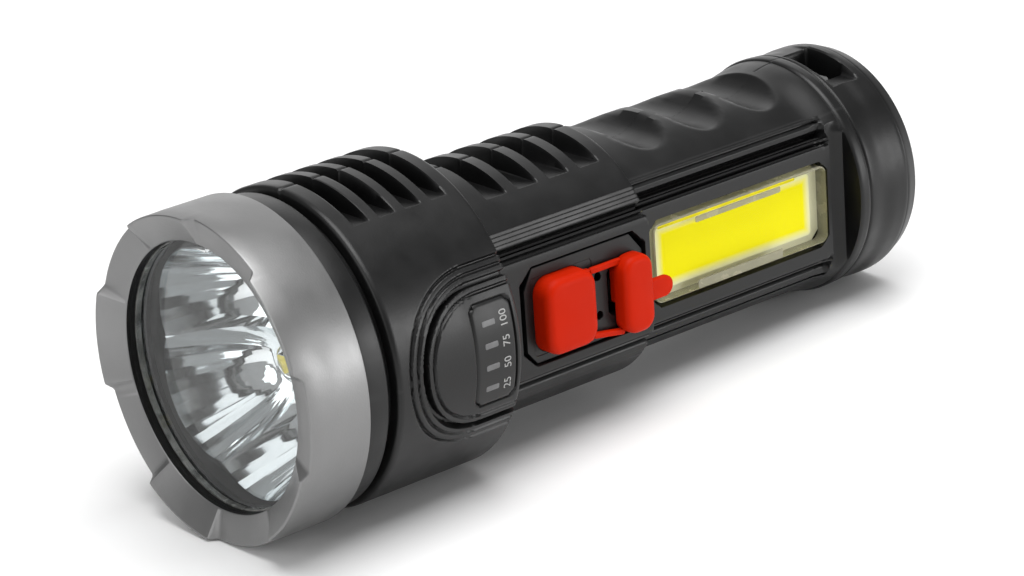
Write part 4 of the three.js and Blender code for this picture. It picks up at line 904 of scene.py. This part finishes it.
def strap(name, side, hinge_x, lid_front, bottom):
    """A strap that ends half-round on the hinge line, and its root on the torch's side of it."""
    middle = side * STRAP_PLACE - COVER_DROP * 0.9
    low_z, high_z = middle - STRAP_WIDTH / 2, middle + STRAP_WIDTH / 2
    root_levels = [(bottom, 0.15), (bottom + 0.15, 0.0), (bottom + 0.8, 0.0), (bottom + 1.0, 0.18)]
    block(f"strap_root_{name}", Vector((hinge_x + STRAP_HALF + 0.04, 0, low_z)),
          Vector((hinge_x + 1.6, 0, high_z)), 0.3, root_levels, "red_silicone")
    levels = [(bottom + STRAP_HALF * (1 + math.sin(t)), STRAP_HALF * (1 - math.cos(t)))
              for t in np.linspace(-1.0, 1.0, 7)]
    piece = block(f"cover_strap_{name}", Vector((lid_front - 1.2, 0, low_z)),
                  Vector((hinge_x + STRAP_HALF, 0, high_z)), 0.5, levels, "red_silicone", body="cover")
    if side < 0:
        for corner in piece.data.vertices:
            share = (hinge_x * MM - corner.co.x) / ((hinge_x - lid_front) * MM)
            corner.co.z -= STRAP_SLOPE * MM * share
    return piece


def floodlight():
    """The clear cover over the phosphor strip, with a raised rail along each side and a painted yellow glow
    along its upper edge.
    """
    low, high = node_box("cob_lens")
    strip_low, strip_high = phosphor_box()
    board_top = node_box("cob_board")[1].y
    lens_levels = [(board_top + 0.02, 0.0), (high.y - 0.25, 0.0), (high.y, 0.25)]
    lens = block("floodlight_cover", low, high, 1.5, lens_levels, "clear_plastic", ["cob_lens"],
                 material=COB_EDGE, sharp=30.0)
    lens.data.materials.append(COB_CLEAR)
    for face in lens.data.polygons:
        face.material_index = int(abs(face.normal.y) > 0.98)
    block("phosphor_strip", strip_low, strip_high, 0.8, [(board_top, 0.0), (board_top + 0.5, 0.0)],
          "phosphor", ["cob_phosphor"])
    rail_levels = [(high.y + 0.02, 0.0), (high.y + 0.15, 0.12)]
    for name, bottom, top in RAILS:
        block(f"floodlight_rail_{name}", Vector((RAIL_ENDS[0], 0, bottom)), Vector((RAIL_ENDS[1], 0, top)),
              0.3, rail_levels, "clear_plastic", material=COB_EDGE)
    # A thin yellow band laid on the cover: the phosphor's painted glow in its upper edge.
    glow_low, glow_high = Vector((27.5, 0, high.z - 0.75)), Vector((high.x - 0.9, 0, high.z - 0.22))
    block("floodlight_glow", glow_low, glow_high, 0.2, [(high.y + 0.01, 0.0), (high.y + 0.05, 0.04)],
          "phosphor", material=GLOW_YELLOW)


# -------- charge gauge
def gauge_window():
    """A smoked plate that follows the head, with its edges rounded down."""
    low, high = node_box("gauge_window")
    outline = dict(x0=low.x, x1=high.x, half=high.z, corner=1.2)
    xs = lines(low.x, high.x, 0.4, [low.x, high.x], 0.1)
    reach = math.asin(high.z / HEAD_R)
    angles = lines(-reach, reach, 0.015, [-reach, reach], 0.004, 0.015)
    x, a = np.meshgrid(xs, angles, indexing="ij")
    depth = inside_octagon(x, HEAD_R * np.sin(a), **outline)
    radius = HEAD_R - 0.02 - 0.35 * (1 - smooth_step(depth / 0.45)) - 1.0 * (depth < -0.02)
    sheets = [np.stack([x, r * np.cos(a), r * np.sin(a)], 2).reshape(-1, 3)
              for r in (radius, np.full_like(radius, HEAD_R - 1.35))]
    count = x.size
    faces = grid_faces(*x.shape)
    rows, columns = x.shape
    under = [tuple(count + k for k in reversed(f)) for f in faces]
    rim = (list(range(columns)) + [i * columns + columns - 1 for i in range(1, rows)]
           + [(rows - 1) * columns + j for j in range(columns - 2, -1, -1)]
           + [i * columns for i in range(rows - 2, 0, -1)])
    walls = [(rim[k], rim[(k + 1) % len(rim)], count + rim[(k + 1) % len(rim)], count + rim[k])
             for k in range(len(rim))]
    mesh_piece("gauge_plate", np.concatenate(sheets), faces + under + walls, "smoked_plastic",
               ["gauge_window"], sharp=50.0)


def gauge_marks():
    """Four light bars, and the share of charge that each stands for."""
    bar_x, text_x = node_box("light_guide")[0].x + 1.2, node_box("gauge_window")[0].x + 2.0
    for i, word in enumerate(("100", "75", "50", "25")):
        arc = (1.5 - i) * GAUGE_LED_PITCH + GAUGE_SHIFT
        bar_low, bar_high = Vector((-1.1, 0, -0.48)), Vector((1.6, 0, 0.48))
        bar = block(f"gauge_bar_{word}", bar_low, bar_high, 0.2, [(-0.3, 0.0), (0.0, 0.0), (0.03, 0.06)],
                    "smoked_plastic", material=BAR_GREY)
        bar.data.transform(placed(bar_x, arc, "block"))
        digits(f"gauge_text_{word}", word, placed(text_x, arc, "text"))


def placed(x, arc, kind):
    """The matrix that lays a block (up along Y) or a text (up along Z) on the head at an arc."""
    angle = arc / HEAD_R
    along, out = Vector((1, 0, 0)), Vector((0, math.cos(angle), math.sin(angle)))
    upwards = Vector((0, -out.z, out.y))
    columns = (along, out, upwards) if kind == "block" else (upwards, along, out)
    matrix = Matrix(columns).transposed().to_4x4()
    matrix.translation = (Vector((x, 0, 0)) + HEAD_R * out) * MM
    return matrix


def digits(name, word, matrix):
    curve = bpy.data.curves.new(name, "FONT")
    curve.body = word
    curve.size = DIGIT_SIZE * MM
    curve.align_x = "CENTER"
    curve.align_y = "CENTER"
    curve.extrude = 0.02 * MM
    curve.materials.append(PRINT_WHITE)
    text = in_scene(name, curve)
    text.matrix_world = matrix
    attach(text, ROOT)


# -------- tail cap
def tail_surface(x, angle):
    """The cap's tapered end, waist and groove, with the well sunk across its top."""
    rise = smooth_step(x / 3.0)
    radius = TAIL_R - 1.2 * (1 - np.clip(x / 3.0, 0, 1)) - 0.25 * rise * band(x, 7.5, 10.5, 3.0)
    radius = radius - 0.12 * np.exp(-(((x - 3.1) / 0.25) ** 2)) - rounded_end(x, 0, 30, 0.4)
    radius = radius - 0.3 * smooth_step((x - 12.1) / 0.4)
    y, z = radius * np.cos(angle), radius * np.sin(angle)
    across = band(x, EYE_REAR, EYE_FRONT, 0.7)
    far_side = smooth_step((-y - 0.4) / 1.2)
    floor = EYE_RECESS - (EYE_RECESS - EYE_FLOOR) * band(y, -1.0, EYE_HALF, 0.8) + 3.0 * far_side
    return y, np.where(z > 0, z - np.maximum(z - floor, 0) * across, z)


def tail_cap():
    """The cap with a well for a wrist cord, and the slot from it through the tail face."""
    xs = lines(0, TAIL_END, 0.6, [0.2, 3.1, EYE_REAR, EYE_FRONT, 12.3], 0.14)
    eye = [math.pi / 2 + turn for turn in (0.04, -0.36, -0.575)]
    angles = lines(-math.pi, math.pi, 0.07, eye, 0.012, 0.06, 200)[:-1]
    y, z = tail_surface(xs[:, None], angles[None, :])
    corners = [np.stack([np.repeat(xs[:, None], len(angles), 1), y, z], 2).reshape(-1, 3)]
    for x in (TAIL_END, SPIGOT_END):
        corners.append(np.column_stack([np.full(len(angles), x), SPIGOT_R * np.cos(angles),
                                        SPIGOT_R * np.sin(angles)]))
    faces = closed_faces(len(xs) + 2, len(angles))
    piece = mesh_piece("tail_end", np.concatenate(corners), faces, "black_abs", ["tail_cap"], sharp=38.0)
    levels = [(side * (EYE_SLOT_HALF - 0.4 + inset), inset)
              for side, inset in ((-1, 0.4), (-1, 0.0), (1, 0.0), (1, 0.4))]
    slot = block("eye_slot", Vector((-1.0, 0, EYE_FLOOR)), Vector((EYE_REAR + 1.3, 0, EYE_SLOT_TOP)), 0.4,
                 levels, "black_abs")
    cut(piece, slot, 38.0)


# -------- assembly
def carried_over():
    """Gives each CAD node that stays in view the finish of its slot in the record."""
    for part in frame["record"]["subparts"]:
        node = frame["nodes"][part["node"]]
        if not node.hide_render:
            node.data.materials.clear()
            node.data.materials.append(MATERIALS[part["material_slot"]])


def floor_and_light():
    """A pale floor under the bezel and the tail bead, and broad soft lights."""
    contact = (Vector((13.8, 0, -BEAD_R)) * MM, Vector((RIM_FLOOR, 0, -BEZEL_R)) * MM)
    along = (contact[1] - contact[0]).normalized()
    up = along.cross(Vector((0, 1, 0)))
    up = up if up.z > 0 else -up
    size = 6.0
    corners = [Vector((sx * size, sy * size, 0)) for sx, sy in ((-1, -1), (1, -1), (1, 1), (-1, 1))]
    turn = Matrix((along, up.cross(along), up)).transposed()
    mesh = bpy.data.meshes.new("floor")
    mesh.from_pydata([turn @ c + contact[0] - up * 0.0002 for c in corners], [], [(0, 1, 2, 3)])
    mesh.materials.append(solid_material("floor_white", (0.9, 0.9, 0.9), 0.6, vary=0.01, patch=4.0,
                                         grain=50.0, bump=0.01))
    in_scene("floor", mesh)

    world = bpy.data.worlds.new("studio")
    world.use_nodes = True
    world.node_tree.nodes["Background"].inputs["Color"].default_value = (1, 1, 1, 1)
    world.node_tree.nodes["Background"].inputs["Strength"].default_value = 0.3
    bpy.context.scene.world = world
    bpy.context.scene.view_settings.view_transform = "Standard"
    target = Vector((0.07, 0, 0))
    area_light("key", (-0.45, 0.75, 0.08), target, 0.45, 4.0)
    area_light("top", (0.1, 0.2, 1.1), target, 0.9, 14.0)
    area_light("back", (-0.63, -0.8, 0.5), target, 1.0, 3.0)
    area_light("front", (0.9, 0.1, 0.35), target, 0.6, 2.0)


def area_light(name, place, target, size, power):
    light = bpy.data.lights.new(name, "AREA")
    light.shape = "SQUARE"
    light.size = size
    light.energy = power
    lamp = in_scene(name, light)
    lamp.location = place
    lamp.rotation_euler = (target - Vector(place)).to_track_quat("-Z", "Y").to_euler()


def camera():
    """A long lens in front of the bezel, on the panel's side and a little above."""
    data = bpy.data.cameras.new("camera")
    data.lens = 133.6
    data.sensor_width = 36.0
    data.clip_end = 50.0
    cam = in_scene("camera", data)
    right = Vector((-0.7580, 0.6487, -0.0671))
    up = Vector((-0.2745, -0.2241, 0.9351))
    back = right.cross(up).normalized()
    up = back.cross(right).normalized()
    pose = Matrix((right.normalized(), up, back)).transposed().to_4x4()
    pose.translation = Vector((0.4605, 0.4704, 0.2219))
    cam.matrix_world = pose
    bpy.context.scene.camera = cam


camera()
floor_and_light()
housing_half("housing_front", "housing_panel_side", (-math.pi / 2, math.pi / 2), 264, 0.45)
housing_half("housing_rear", "housing_back_side", (math.pi / 2, 3 * math.pi / 2), 110, 0.8)
tail_cap()
collar()
bezel()
seal_ring()
front_glass()
reflector()
lamps()
gauge_window()
gauge_marks()
panel_plate()
button()
button_skirt()
cover()
floodlight()
carried_over()
